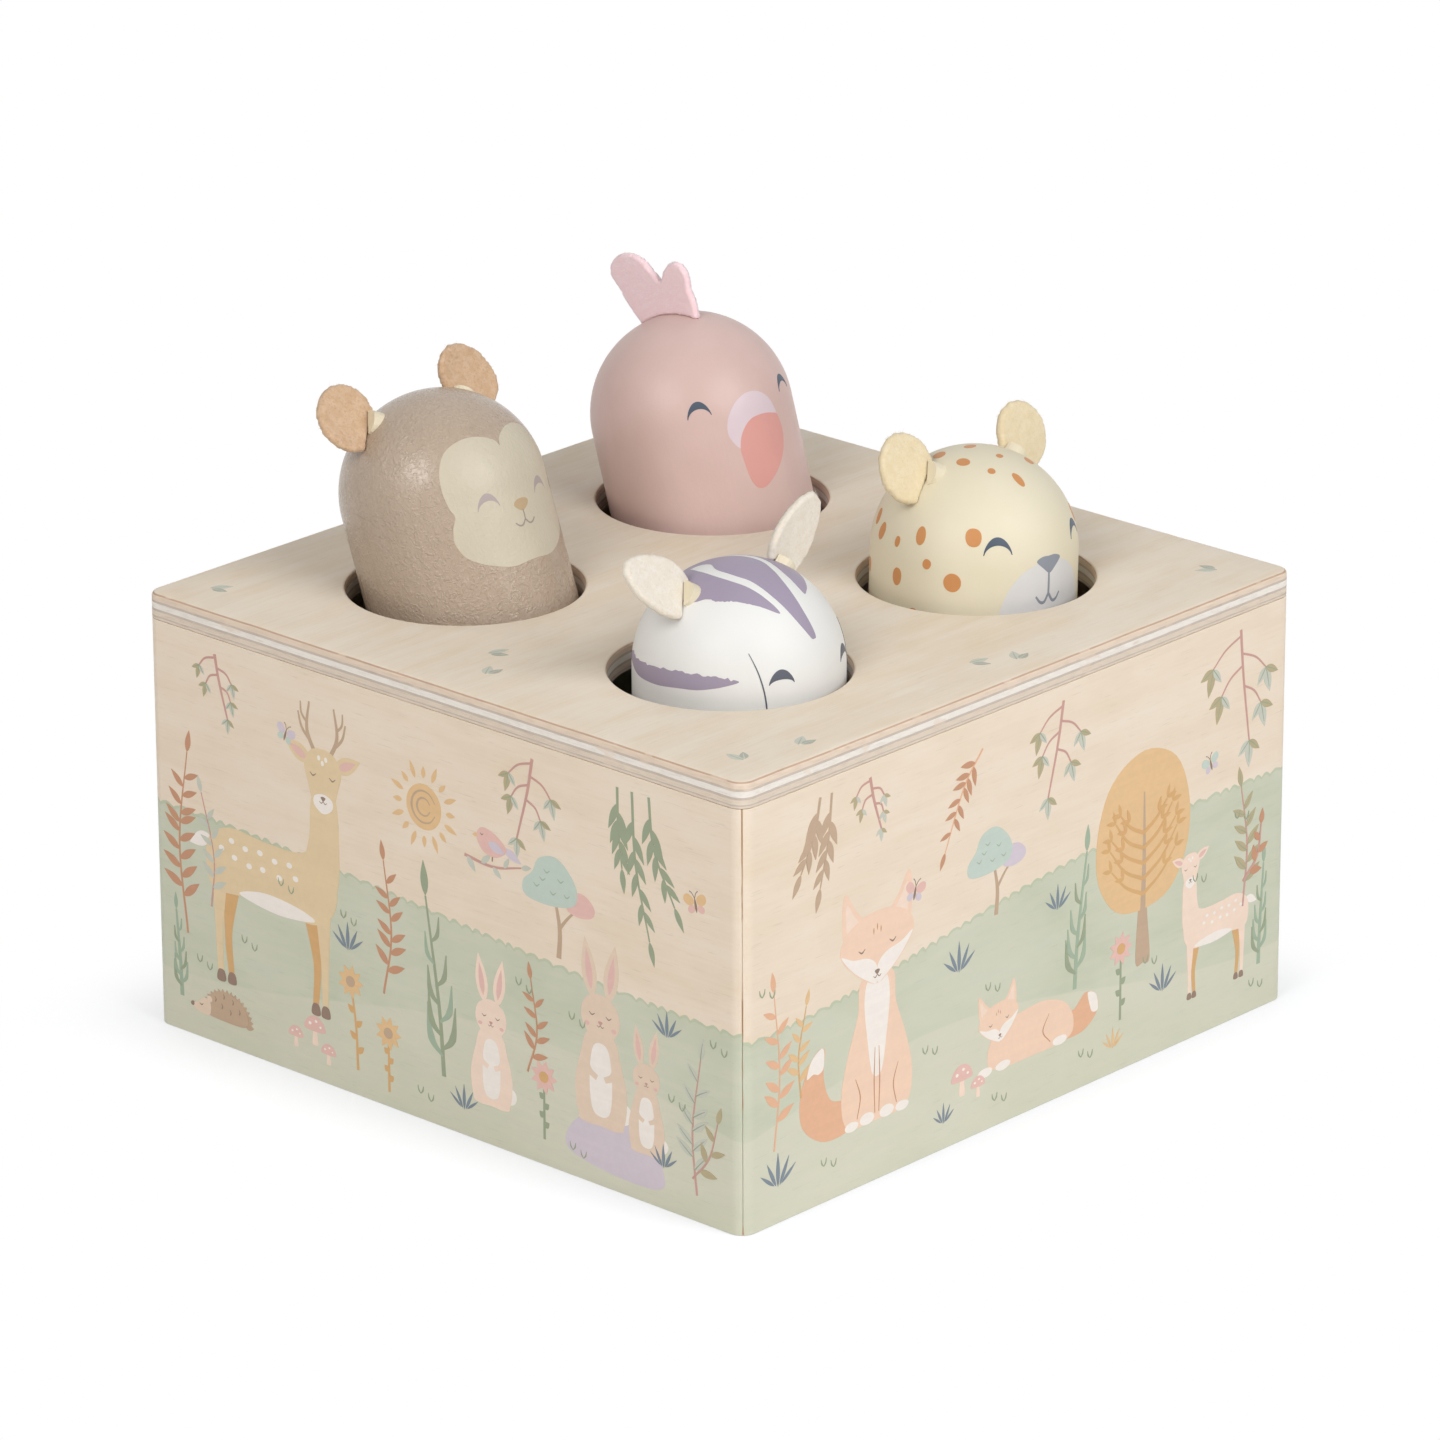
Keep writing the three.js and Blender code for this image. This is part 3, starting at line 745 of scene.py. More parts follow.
def side_panel(name, turn, finish):
    """One side of the box, mitred at both ends and rounded at the outer corners."""
    across, along = (BOX_WIDTH, BOX_DEPTH) if turn % 2 == 0 else (BOX_DEPTH, BOX_WIDTH)
    face = -along / 2
    half = across / 2
    plan = []
    for side in (-1, 1):
        arc = []
        for step in range(MITRE_STEPS + 1):
            angle = math.radians(45 * step / MITRE_STEPS)
            arc.append((side * (half - CORNER_RADIUS + CORNER_RADIUS * math.sin(angle)),
                        face + CORNER_RADIUS * (1 - math.cos(angle))))
        arc[-1] = (arc[-1][0] - side * MITRE_DRAWN_BACK, arc[-1][1])
        plan += arc[::-1] if side == -1 else arc
    inner = half - PANEL_THICKNESS - MITRE_DRAWN_BACK
    plan += [(inner, face + PANEL_THICKNESS), (-inner, face + PANEL_THICKNESS)]
    count = len(plan)
    swung = [rotated(x, y, turn * math.pi / 2) for x, y in plan]
    points = [(x, y, z) for z in (0, PANEL_HEIGHT - BOARD_GAP) for x, y in swung]
    faces = [tuple(range(count))[::-1], tuple(range(count, 2 * count))]
    faces += [(i, (i + 1) % count, count + (i + 1) % count, count + i) for i in range(count)]
    panel = make_mesh("printed_" + name, points, faces, [finish], smooth_angle=30)
    soften(panel, PANEL_EASE)
    settle(panel, "box", [name])


class Stance:
    """Where an animal stands: its own frame, read from the joints, and its profile."""

    def __init__(self, animal):
        self.animal = animal
        joints = {j["name"]: j for j in frame["joints"]}
        self.pivot = Vector(joints[f"{animal}_lean"]["pos_m"])
        self.axis = Vector(joints[f"{animal}_press"]["axis"]).normalized()
        turn = Vector((0, 0, 1)).rotation_difference(self.axis)
        self.placed = Matrix.Translation(self.pivot) @ turn.to_matrix().to_4x4()
        mesh = frame["nodes"][f"{animal}_peg"].data
        heights = [(v.co - self.pivot).dot(self.axis) / MM for v in mesh.vertices]
        self.stub_end = min(heights)
        self.foot = self.stub_end + PEG_STUB_LENGTH
        self.dome_middle = self.highest_ring(mesh)

    def highest_ring(self, mesh):
        """The height at which the side of the peg ends and its dome begins."""
        side = []
        for v in mesh.vertices:
            offset = v.co - self.pivot
            height = offset.dot(self.axis)
            if (offset - height * self.axis).length / MM > PEG_RADIUS - 0.02:
                side.append(height / MM)
        return max(side)

    def on_surface(self, flat, lift):
        """Points on the paint, from the flat map round the dome's top: arc length outward,
        straight down in the map being the front."""
        flat = np.asarray(flat, float)
        arc = np.hypot(flat[:, 0], flat[:, 1])
        outward = np.where(arc[:, None] > 1e-9, flat / np.maximum(arc, 1e-9)[:, None], 0)
        angle = np.minimum(arc / PEG_RADIUS, math.pi / 2)
        below = np.maximum(arc - PEG_RADIUS * math.pi / 2, 0)
        reach = (PEG_RADIUS + lift) * np.sin(angle)
        height = self.dome_middle + (PEG_RADIUS + lift) * np.cos(angle) - below
        return np.column_stack([outward * reach[:, None], height])


def heading(angle):
    """One step this many degrees round from straight to the right."""
    return np.array([math.cos(math.radians(angle)), math.sin(math.radians(angle))])


def on_map(azimuth, arc):
    """A place on the flat map round the dome's top."""
    angle = math.radians(azimuth)
    return np.array([arc * math.sin(angle), -arc * math.cos(angle)])


def near_map(azimuth, arc, shape, turn=0):
    """A small shape, in millimetres right and up, laid round a place on the map."""
    outward, across = on_map(azimuth, 1), heading(azimuth)
    spread = arc / (PEG_RADIUS * math.sin(min(arc / PEG_RADIUS, math.pi / 2))) if arc > 0.1 else 1
    made = []
    for x, y in shape:
        right, up = rotated(x, y, math.radians(turn))
        made.append(on_map(azimuth, arc) - up * outward + right * spread * across)
    return np.array(made)


def oval(width, height, seed):
    """A hand-painted oval round its middle."""
    dice = random.Random(seed)
    waves = [(dice.uniform(-1, 1), dice.uniform(0, 6.3)) for _ in range(3)]
    shape = []
    for i in range(OVAL_STEPS):
        angle = 2 * math.pi * i / OVAL_STEPS
        off = 1 + 0.02 * sum(a * math.sin((k + 2) * angle + p) for k, (a, p) in enumerate(waves))
        shape.append((width / 2 * math.cos(angle) * off, height / 2 * math.sin(angle) * off))
    return np.array(shape)


def brow(width, height, thickness):
    """A closed, smiling eye: an arch that is thick in the middle and runs out at both ends."""
    upper, lower = [], []
    for i in range(25):
        share = i / 24
        x = (share - 0.5) * width
        arch = height * (1 - (2 * share - 1) ** 2) ** 0.75
        thick = thickness * math.sin(math.pi * share) ** 0.8 + 0.04
        upper.append((x, arch + thick / 2))
        lower.append((x * 0.94, arch - thick / 2))
    return np.array(upper + lower[::-1])


def stroke(points, widths):
    """A brush stroke along a smooth line, its width going from the first through to the last."""
    line = open_curve(points)
    run = np.gradient(line, axis=0)
    normal = np.column_stack([-run[:, 1], run[:, 0]]) / np.maximum(np.hypot(*run.T), 1e-9)[:, None]
    shares = np.linspace(0, 1, len(line))
    half = np.interp(shares, np.linspace(0, 1, len(widths)), widths)[:, None] / 2
    return np.vstack([line + normal * half, (line - normal * half)[::-1]])


def turned_peg(stance, finish):
    """The animal's body, turned in one piece with the stub that holds its spring."""
    profile = [(0, stance.stub_end), (PEG_STUB_RADIUS - STUB_EASE, stance.stub_end),
               (PEG_STUB_RADIUS, stance.stub_end + STUB_EASE), (PEG_STUB_RADIUS, stance.foot),
               (PEG_RADIUS - PEG_FOOT_EASE, stance.foot), (PEG_RADIUS, stance.foot + PEG_FOOT_EASE)]
    side = stance.dome_middle - stance.foot - PEG_FOOT_EASE
    profile += [(PEG_RADIUS, stance.foot + PEG_FOOT_EASE + side * (k + 1) / PEG_SIDE_STEPS)
                for k in range(PEG_SIDE_STEPS)]
    for step in range(1, DOME_STEPS + 1):
        angle = step / DOME_STEPS * math.pi / 2
        reach = PEG_RADIUS * math.cos(angle) if step < DOME_STEPS else 0
        profile.append((reach, stance.dome_middle + PEG_RADIUS * math.sin(angle)))
    points, faces = lathe(profile, PEG_SIDES)
    peg = make_mesh(f"{stance.animal}_turned_peg", points, faces, [finish], smooth_angle=30)
    settle(peg, stance.animal, [f"{stance.animal}_peg"], stance.placed)


def lathe(profile, sides):
    """A turned shape about Z from (radius, height) points that start and end on the axis."""
    points = [(0, 0, profile[0][1])]
    for radius, height in profile[1:-1]:
        angles = [2 * math.pi * k / sides for k in range(sides)]
        points += [(radius * math.cos(a), radius * math.sin(a), height) for a in angles]
    points.append((0, 0, profile[-1][1]))
    last = len(points) - 1
    rings = len(profile) - 2
    faces = [(0, 1 + (k + 1) % sides, 1 + k) for k in range(sides)]
    faces += ring_faces(1, sides, rings)
    high = 1 + (rings - 1) * sides
    faces += [(high + k, high + (k + 1) % sides, last) for k in range(sides)]
    return points, faces


def ear_frame(stance, azimuth, polar, tilt, turn):
    """The felt leaf's own frame: X across it, Y along it from its root on the dome, Z its face."""
    a, p, t = (math.radians(v) for v in (azimuth, polar, tilt))
    outward = Vector((math.sin(a), -math.cos(a), 0))
    root = outward * (PEG_RADIUS * math.sin(p))
    root.z = stance.dome_middle + PEG_RADIUS * math.cos(p)
    length = outward * math.sin(t)
    length.z = math.cos(t)
    facing = Vector((-outward.y, outward.x, 0))
    if facing.y > 0:
        facing.negate()
    facing = Matrix.Rotation(math.radians(turn), 3, length) @ facing
    width = length.cross(facing)
    made = Matrix((width, length, facing)).transposed().to_4x4()
    made.translation = root
    return made


def leaf_mesh(outline, cup, seed, hairs, hair_length=0.8):
    """A felt leaf with a rounded rim, an uneven skin and loose fibres."""
    dice = random.Random(seed)
    flat, triangles = fill(outline, FELT_MESH)
    rim = rim_distance(outline, flat)
    share = np.clip(rim / FELT_ROUNDING, 0, 1)
    half = FELT_THICKNESS / 2 * np.sqrt(1 - (1 - share) ** 2)
    bend = cup * (flat[:, 0] ** 2)
    front, back, on_rim = [], [], rim < 1e-4
    for (x, y), h, b, edge in zip(flat, half, bend, on_rim):
        bump = noise.noise(Vector((x, y, seed)) * 1.1) * 0.07 + noise.noise(Vector((x, y, seed + 9)) * 2.6) * 0.05
        lump = noise.noise(Vector((x, y, seed - 9)) * 1.3) * 0.07
        front.append((x, y, b + h + (0 if edge else bump)))
        back.append((x, y, b - h - (0 if edge else lump)))
    count = len(flat)
    under = {i: (i if on_rim[i] else count + i) for i in range(count)}
    points = front + back
    faces = triangles + [tuple(under[k] for k in t[::-1]) for t in triangles]
    used = sorted({k for f in faces for k in f})
    number = {k: i for i, k in enumerate(used)}
    points = [points[k] for k in used]
    faces = [tuple(number[k] for k in f) for f in faces]
    rim_points = [i for i, k in enumerate(used) if k < count and on_rim[k]]
    for _ in range(hairs):
        if dice.random() < 0.7:
            root = Vector(points[dice.choice(rim_points)])
            way = Vector((root.x, root.y - outline[:, 1].mean(), 0)).normalized()
        else:
            root = Vector(points[dice.randrange(len(points))])
            way = Vector((0, 0, math.copysign(0.6, root.z)))
        hair(points, faces, root, way, dice, hair_length)
    return points, faces


def hair(points, faces, root, way, dice, length):
    """One loose fibre: a fine tapered thread that curls."""
    curl = Vector([dice.uniform(-1, 1) for _ in range(3)])
    way = (way + curl * 0.8).normalized()
    side = way.orthogonal().normalized()
    other = way.cross(side)
    reach = length * dice.uniform(0.25, 1) ** 1.5
    start = len(points)
    for step in range(3):
        share = step / 3
        middle = root - way * 0.1 + way * (reach * share) + curl * (reach * 0.35 * share ** 2)
        for k in range(3):
            angle = 2 * math.pi * k / 3
            arm = side * math.cos(angle) + other * math.sin(angle)
            points.append(tuple(middle + arm * FIBRE_RADIUS * (1 - share * 0.7)))
    points.append(tuple(root + way * reach + curl * (reach * 0.4)))
    faces.append((start, start + 2, start + 1))
    faces += ring_faces(start, 3, 3)
    for k in range(3):
        faces.append((start + 6 + k, start + 6 + (k + 1) % 3, start + 9))


def sit_on_dome(outline, middle, radius):
    """Moves the outline's points that are inside the dome out to where the leaf meets it."""
    made = []
    for point in outline:
        arm = point - middle
        reach = np.hypot(*arm)
        made.append(middle + arm * (radius / reach) if reach < radius else point)
    return np.array(made)


def felt_ear(stance, side, finish, shape, seed):
    """One ear, cut a little ragged and let into the dome at its root."""
    place, stand = shape[side]
    length = shape["length"]
    placed = ear_frame(stance, *place)
    outline = []
    for step in range(EAR_STEPS):
        angle = 2 * math.pi * step / EAR_STEPS
        narrowing = 1 - shape["point"] * (1 + math.sin(angle)) / 2
        x = shape["width"] / 2 * math.cos(angle) * narrowing
        y = length * (stand + math.sin(angle) / 2)
        off = 1 + shape["ragged"] * noise.noise(Vector((x, y, seed)) * 0.9)
        outline.append((x * off, stand * length + (y - stand * length) * off))
    dome = placed.inverted() @ Vector((0, 0, stance.dome_middle))
    radius = math.sqrt(PEG_RADIUS ** 2 - dome.z ** 2) - FELT_SINK
    outline = sit_on_dome(np.array(outline), np.array([dome.x, dome.y]), radius)
    points, faces = leaf_mesh(outline, shape["cup"], seed, shape["hairs"])
    name = f"{stance.animal}_{side}_ear"
    leaf = make_mesh(f"{name}_felt", points, faces, [finish], smooth_angle=80)
    local = placed.copy()
    local.translation = local.translation * MM
    settle(leaf, stance.animal, [name], stance.placed @ local)


def felt_comb(stance, finish):
    """The two-lobed comb along the top of the head."""
    shares = [(-0.38, -0.1), (-0.485, 0.15), (-0.57, 0.46), (-0.64, 0.68), (-0.6, 0.88), (-0.47, 0.99),
              (-0.32, 0.99), (-0.19, 0.88), (-0.09, 0.68), (-0.01, 0.53), (0.04, 0.65), (0.13, 0.77),
              (0.235, 0.8), (0.32, 0.71), (0.355, 0.54), (0.345, 0.34), (0.37, 0.17), (0.37, -0.1)]
    top = stance.dome_middle + PEG_RADIUS
    outline = open_curve([(forward * COMB_WIDTH, rise * COMB_HEIGHT) for forward, rise in shares], 5)
    root = [(x, -COMB_ROOT) for x in np.linspace(outline[-1][0], outline[0][0], 24)]
    outline = np.vstack([outline, root])
    outline = sit_on_dome(outline, np.array([0, -PEG_RADIUS]), PEG_RADIUS - FELT_SINK)
    points, faces = leaf_mesh(outline, cup=0, seed=31, hairs=160, hair_length=0.5)
    comb = make_mesh("parrot_comb_felt", points, faces, [finish], smooth_angle=80)
    upright = Matrix(((0, 0, 1, 0), (-1, 0, 0, 0), (0, 1, 0, top * MM), (0, 0, 0, 1)))
    settle(comb, "parrot", ["parrot_comb"], stance.placed @ upright)


def spring_line(stance):
    """Points up the middle of a spring, from its seat over to the leaning stub."""
    middle = hole_middle(stance.animal)
    low = BASE_THICKNESS + FIT_GAP + WIRE_RADIUS
    seat_end = Vector((*middle, BASE_THICKNESS + SEAT_HEIGHT))
    pivot = stance.pivot / MM
    stub_end = pivot + stance.axis * stance.stub_end
    head = pivot + stance.axis * (stance.foot - FIT_GAP - WIRE_RADIUS)
    pull = (stub_end - seat_end).length / 3
    knots = (seat_end, seat_end + Vector((0, 0, pull)), stub_end - stance.axis * pull, stub_end)
    line = [Vector((*middle, low))]
    for step in range(BEND_STEPS):
        t = step / (BEND_STEPS - 1)
        weights = ((1 - t) ** 3, 3 * t * (1 - t) ** 2, 3 * t * t * (1 - t), t ** 3)
        line.append(sum((w * k for w, k in zip(weights, knots)), Vector()))
    line.append(head)
    return np.array([tuple(p) for p in line])


def coil_spring(stance, finish):
    """The coil spring, its end turns lying close."""
    line = spring_line(stance)
    runs = np.concatenate([[0], np.cumsum(np.linalg.norm(np.diff(line, axis=0), axis=1))])
    total = OPEN_TURNS + 2 * CLOSED_TURNS
    closed = CLOSED_TURNS * CLOSED_PITCH / runs[-1]
    centres = []
    for step in range(total * WIRE_STEPS_PER_TURN + 1):
        turn = step / WIRE_STEPS_PER_TURN
        if turn < CLOSED_TURNS:
            share = closed * turn / CLOSED_TURNS
        elif turn > total - CLOSED_TURNS:
            share = 1 - closed * (total - turn) / CLOSED_TURNS
        else:
            share = closed + (1 - 2 * closed) * (turn - CLOSED_TURNS) / OPEN_TURNS
        middle = Vector([np.interp(share * runs[-1], runs, line[:, k]) for k in range(3)])
        normal = Vector((0, 0, 1)).lerp(stance.axis, share).normalized()
        level = Vector((0, 0, 1)).rotation_difference(normal)
        angle = 2 * math.pi * turn
        arm = level @ Vector((math.cos(angle), math.sin(angle), 0))
        centres.append(middle + arm * SPRING_RADIUS)
    points = []
    for i, centre in enumerate(centres):
        along = (centres[min(i + 1, len(centres) - 1)] - centres[max(i - 1, 0)]).normalized()
        side = along.cross(Vector((0, 0, 1))).normalized()
        over = side.cross(along)
        for k in range(WIRE_SIDES):
            angle = 2 * math.pi * k / WIRE_SIDES
            points.append(centre + WIRE_RADIUS * (side * math.cos(angle) + over * math.sin(angle)))
    faces = ring_faces(0, WIRE_SIDES, len(centres), down=True)
    faces += [tuple(range(WIRE_SIDES)), tuple(range(len(points) - WIRE_SIDES, len(points)))[::-1]]
    animal = stance.animal
    spring = make_mesh(f"{animal}_coil_spring", points, faces, [finish], smooth_angle=50)
    settle(spring, "box", [f"{animal}_spring"])
    press = next(j for j in frame["joints"] if j["name"] == f"{animal}_press")
    travel = max(abs(v) for v in press["range_m"]) / MM
    length = (line[-1] - line[0]) @ np.array(stance.axis)
    1 - travel / length
    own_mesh(spring)


def inner_pieces(finishes):
    """The seats, their screws, the ear plugs and the bottom board keep their shapes, edges eased."""
    kinds = {"spring_seat": ("beech", 0.3), "seat_screw": ("zinc plate", 0.12),
             "ear_plug": ("plug paint", 0.7), "bottom_board": ("inner birch", 0.35)}
    for name, node in frame["nodes"].items():
        for ending, (finish, ease) in kinds.items():
            if name.endswith(ending):
                node.data.materials.clear()
                node.data.materials.append(finishes[finish].material)
                smooth(node.data, 30)
                soften(node, ease)


def mirrored(pairs, middle):
    """Adds the other half of a shape that is even about an azimuth."""
    return pairs + [(2 * middle - azimuth, arc) for azimuth, arc in reversed(pairs)]


def map_outline(pairs, steps=6):
    """A smooth closed outline on the map, from places as (azimuth, arc)."""
    return closed_curve([on_map(*pair) for pair in pairs], steps)


def map_stroke(pairs, widths):
    """A brush stroke on the map, from places as (azimuth, arc)."""
    return stroke([on_map(*pair) for pair in pairs], widths)


def ragged_edge(outline, first, last, size, seed):
    """Gives one stretch of an outline the small teeth of a masked paint edge."""
    made = np.array(outline, float)
    count = len(made)
    for i in range(int(first * count), int(last * count)):
        shift = noise.noise(Vector((i * 0.47, seed, 0))) + 0.9 * noise.noise(Vector((i * 1.37, seed, 5)))
        made[i] += made[i] / max(np.hypot(*made[i]), 1e-6) * shift * size
    return made


def eyes(sheets, azimuths, arc, size, paint):
    """Two closed eyes, each of this width, height and thickness."""
    for azimuth in azimuths:
        sheets.add(near_map(azimuth, arc, brow(*size)), 0.4, paint)


def monkey_face(sheets):
    """The pale patch, whose outline is even about the front, with eyes, nose and mouth."""
    patch = [(0, 23.1), (-1.6, 22.0), (-7, 20.8), (-17, 19.9), (-28, 20.2), (-37, 21.8), (-42, 25), (-43, 28.5),
             (-41.5, 31.6), (-39.6, 33.4), (-42.2, 35.4), (-43.2, 38.2), (-38, 41.4), (-26, 43.7), (-11, 44.9)]
    sheets.add(map_outline(mirrored(patch, 0)[:-1]), 0.8, "cream paint")
    eyes(sheets, (-20, 21), 33.3, (4.6, 1.9, 1.4), "lilac grey paint")
    nose = closed_curve([(-1.8, 0.3), (-1.2, 0.95), (0.4, 1.1), (1.8, 0.7), (1.4, -0.4), (0, -1.2), (-1.2, -0.55)])
    sheets.add(near_map(1, 34.5, nose), 0.4, "tan paint")
    mouth_lines(sheets, 1, 35.4, 1.9, 2.6, 1.0, 0.32, "warm grey paint")


def mouth_lines(sheets, azimuth, arc, drop, half, sag, thick, paint):
    """A line down from the nose that parts into two smiling curves."""
    lines = [[(0, 0), (0.05, -drop / 2), (0, -drop)]]
    for side in (-1, 1):
        lines.append([(0, -drop), (side * half * 0.35, -drop - sag * 0.85), (side * half * 0.7, -drop - sag * 0.7),
                      (side * half, -drop + sag * 0.1)])
    for number, line in enumerate(lines):
        widths = [thick, thick * 1.05, thick * 0.7] if number else [thick * 0.8, thick, thick]
        sheets.add(near_map(azimuth, arc, stroke(line, widths)), 0.3, paint)


def parrot_face(sheets):
    """The beak, the bare skin above it and the eyes."""
    cere = [(-21.5, 36.0), (-26.5, 33.4), (-25.5, 30.4), (-19, 27.6), (-9, 26.3), (0, 27.0), (6.5, 29.3), (9, 32.6),
            (2, 33.4), (-8, 33.6), (-15, 35.0)]
    sheets.add(map_outline(cere), 0.6, "lilac paint")
    beak = [(-18.5, 33.4), (-12, 31.4), (-4, 31.0), (5, 31.5), (10, 32.4), (11.3, 36), (7, 39.6), (-1, 42.4),
            (-9.5, 44.2), (-15.5, 44.2), (-19, 42.4), (-20.8, 39), (-21.3, 36)]
    sheets.add(map_outline(beak), 0.6, "coral paint")
    eyes(sheets, (-40.5, 24.5), 28.3, (4.7, 2.1, 1.4), "slate paint")


# Each spot's azimuth, arc from the dome's top, width and height
LEOPARD_SPOTS = [
    (-166, 1.4, 2.6, 2.0), (-71, 6.7, 2.6, 2.3), (-31, 9.1, 1.5, 1.5), (-6, 12.0, 1.7, 3.4), (5, 5.2, 1.6, 1.3),
    (47, 10.1, 3.0, 2.1), (105, 7.5, 2.0, 2.0), (-129, 7.1, 3.0, 2.4), (-127, 23.2, 2.0, 3.2),
    (-115, 25.0, 2.2, 3.4), (-98, 25.6, 1.3, 2.1), (-82, 23.5, 2.0, 3.5), (-50, 22.8, 3.0, 3.5),
    (-131, 32.8, 2.1, 3.0), (-96, 32.0, 2.2, 3.5), (-76, 28.4, 1.7, 1.9), (-61, 31.3, 3.3, 3.5),
    (-53, 38.9, 2.0, 2.2), (-84, 38.6, 2.6, 3.0), (-112, 40.5, 2.4, 2.6), (43, 22.8, 3.3, 3.7),
    (54, 31.5, 3.3, 3.4), (70, 27.6, 1.8, 2.0), (77, 21.8, 2.0, 3.3), (92, 31.4, 2.2, 3.3), (95, 24.2, 1.4, 2.1),
    (113, 26.5, 2.3, 3.3), (129, 33.5, 2.5, 3.1), (140, 21.2, 2.4, 3.0), (152, 28.4, 1.8, 2.4),
    (168, 34.0, 3.1, 3.2), (174, 22.6, 2.8, 3.3), (-152, 30.0, 2.6, 3.4), (-160, 17.5, 2.2, 2.6),
    (-140, 14.6, 1.6, 2.0), (150, 12.5, 2.8, 2.4), (104, 16.2, 2.2, 2.6), (81, 38.9, 2.5, 2.7), (44, 38.4, 2.0, 2.2),
    (-175, 40.6, 2.3, 2.6), (120, 41.2, 2.2, 2.4), (-140, 39.4, 2.0, 2.4),
]


def leopard_face(sheets):
    """The white muzzle with the nose and mouth, the eyes, and the spots all round."""
    muzzle = [(-3.5, 27.9), (-14, 28.6), (-24, 30.4), (-32, 34.2), (-35.5, 39), (-31, 44), (-19, 47), (-3.5, 48)]
    sheets.add(map_outline(mirrored(muzzle[1:-1], -3.5) + [(-3.5, 27.9)]), 0.8, "white paint")
    eyes(sheets, (-36, 29), 25.8, (5.5, 2.3, 1.5), "slate paint")
    nose = closed_curve([(-2.9, 1.0), (-1.6, 1.5), (0, 1.4), (1.6, 1.5), (2.9, 1.0), (1.5, -0.7), (0, -1.8),
                         (-1.5, -0.7)])
    sheets.add(near_map(-3.5, 28.7, nose), 0.5, "slate grey paint")
    mouth_lines(sheets, -4, 30.2, 4.1, 3.4, 1.7, 0.55, "slate grey paint")
    for number, (azimuth, arc, width, height) in enumerate(LEOPARD_SPOTS):
        shape = oval(width, height, number)
        sheets.add(near_map(azimuth, arc, shape, (number * 37) % 30 - 15), 0.7, "orange paint")


def zebra_face(sheets):
    """The stripes, the first three with ragged ends, the eyes and the two lines of the muzzle."""
    middle = 3
    cheek = [(-135, 27.4), (-116, 27.0), (-97, 26.4), (-76, 26.0), (-60, 26.1), (-47.5, 26.8), (-60, 28.1),
             (-75, 28.9), (-96, 29.6), (-116, 29.8), (-134, 28.6)]
    brow_side = [(-149, 10.0), (-134, 13.0), (-112, 14.8), (-90, 13.4), (-78, 12.1), (-66, 12.2), (-51, 12.0),
                 (-30, 13.3), (-15.5, 15.2), (-23, 11.6), (-37, 8.8), (-60, 7.2), (-90, 6.6), (-125, 7.4)]
    forehead = [(-145, 11.2), (-150, 7.8), (-140, 5.2), (-100, 4.9), (-55, 5.6), (-30, 7.4), (-14, 12.0), (-5, 17.3),
                (0.5, 20.8), (3.2, 21.3), (5.2, 20.6), (5.4, 15.6), (10.5, 10.2), (24, 6.6), (60, 4.0), (130, 3.4),
                (178, 6.4), (-160, 10.6)]
    beside = [(165, 10.4), (140, 7.0), (110, 5.7), (73, 5.5), (44, 6.8), (30, 8.8), (21, 13.2), (27, 13.4),
              (38, 12.9), (60, 12.0), (90, 11.6), (120, 11.9), (145, 12.9), (160, 14.0)]
    other_cheek = [(2 * middle - a, s) for a, s in cheek]
    nape = [(180, 20.4), (150, 20.8), (124, 22.4), (104, 24.6), (124, 25.0), (150, 24.0), (180, 23.4),
            (-160, 23.8), (-148, 23.2), (-160, 21.4)]
    collar = [(180, 34.2), (140, 34.4), (100, 35.4), (62, 37.2), (100, 38.2), (140, 37.8), (180, 37.2),
              (-160, 37.4), (-145, 36.4), (-160, 34.6)]
    ragged = {0: (0.02, 0.42, 0.5), 1: (0.02, 0.42, 0.5), 2: (0.3, 0.52, 0.22)}
    for number, band in enumerate((cheek, other_cheek, brow_side, forehead, beside, nape, collar)):
        outline = map_outline(band, 10)
        if number in ragged:
            outline = ragged_edge(outline, *ragged[number], number)
        sheets.add(outline, 0.7, "violet paint")
    eyes(sheets, (-24, 31), 27.5, (5.0, 1.5, 1.75), "charcoal paint")
    for side in (-1, 1):
        line = [(middle + side * a, s) for a, s in ((45, 21.8), (39, 26.4), (36, 31.3), (35.5, 37), (36, 44))]
        sheets.add(map_stroke(line, [0.12, 0.3, 0.42, 0.5, 0.55]), 0.3, "charcoal paint")


def make_camera():
    """The photograph's view."""
    camera = bpy.data.objects.new("camera", bpy.data.cameras.new("camera"))
    bpy.context.scene.collection.objects.link(camera)
    yaw, pitch, roll = (math.radians(v) for v in CAMERA_TURNS)
    ahead = Vector((math.cos(pitch) * math.cos(yaw), math.cos(pitch) * math.sin(yaw), math.sin(pitch)))
    right = ahead.cross(Vector((0, 0, 1))).normalized()
    above = right.cross(ahead)
    right, above = right * math.cos(roll) + above * math.sin(roll), above * math.cos(roll) - right * math.sin(roll)
    turn = Matrix((right, above, -ahead)).transposed().to_4x4()
    camera.matrix_world = Matrix.Translation(CAMERA_PLACE) @ turn
    camera.data.sensor_width = 36
    camera.data.lens = CAMERA_LENS
    camera.data.clip_end = 50
    bpy.context.scene.camera = camera


def area_light(name, azimuth, elevation, distance, size, power, colour):
    """A soft round light that looks at the middle of the toy."""
    lamp = bpy.data.lights.new(name, "AREA")
    lamp.shape = "DISK"
    lamp.size = size
    lamp.energy = power
    lamp.color = colour
    lamp_object = bpy.data.objects.new(name, lamp)
    a, e = math.radians(azimuth), math.radians(elevation)
    way = Vector((math.sin(a) * math.cos(e), -math.cos(a) * math.cos(e), math.sin(e)))
    lamp_object.location = Vector(LIGHTS_AIM) + way * distance
    lamp_object.rotation_euler = (-way).to_track_quat("-Z", "Y").to_euler()
    bpy.context.scene.collection.objects.link(lamp_object)


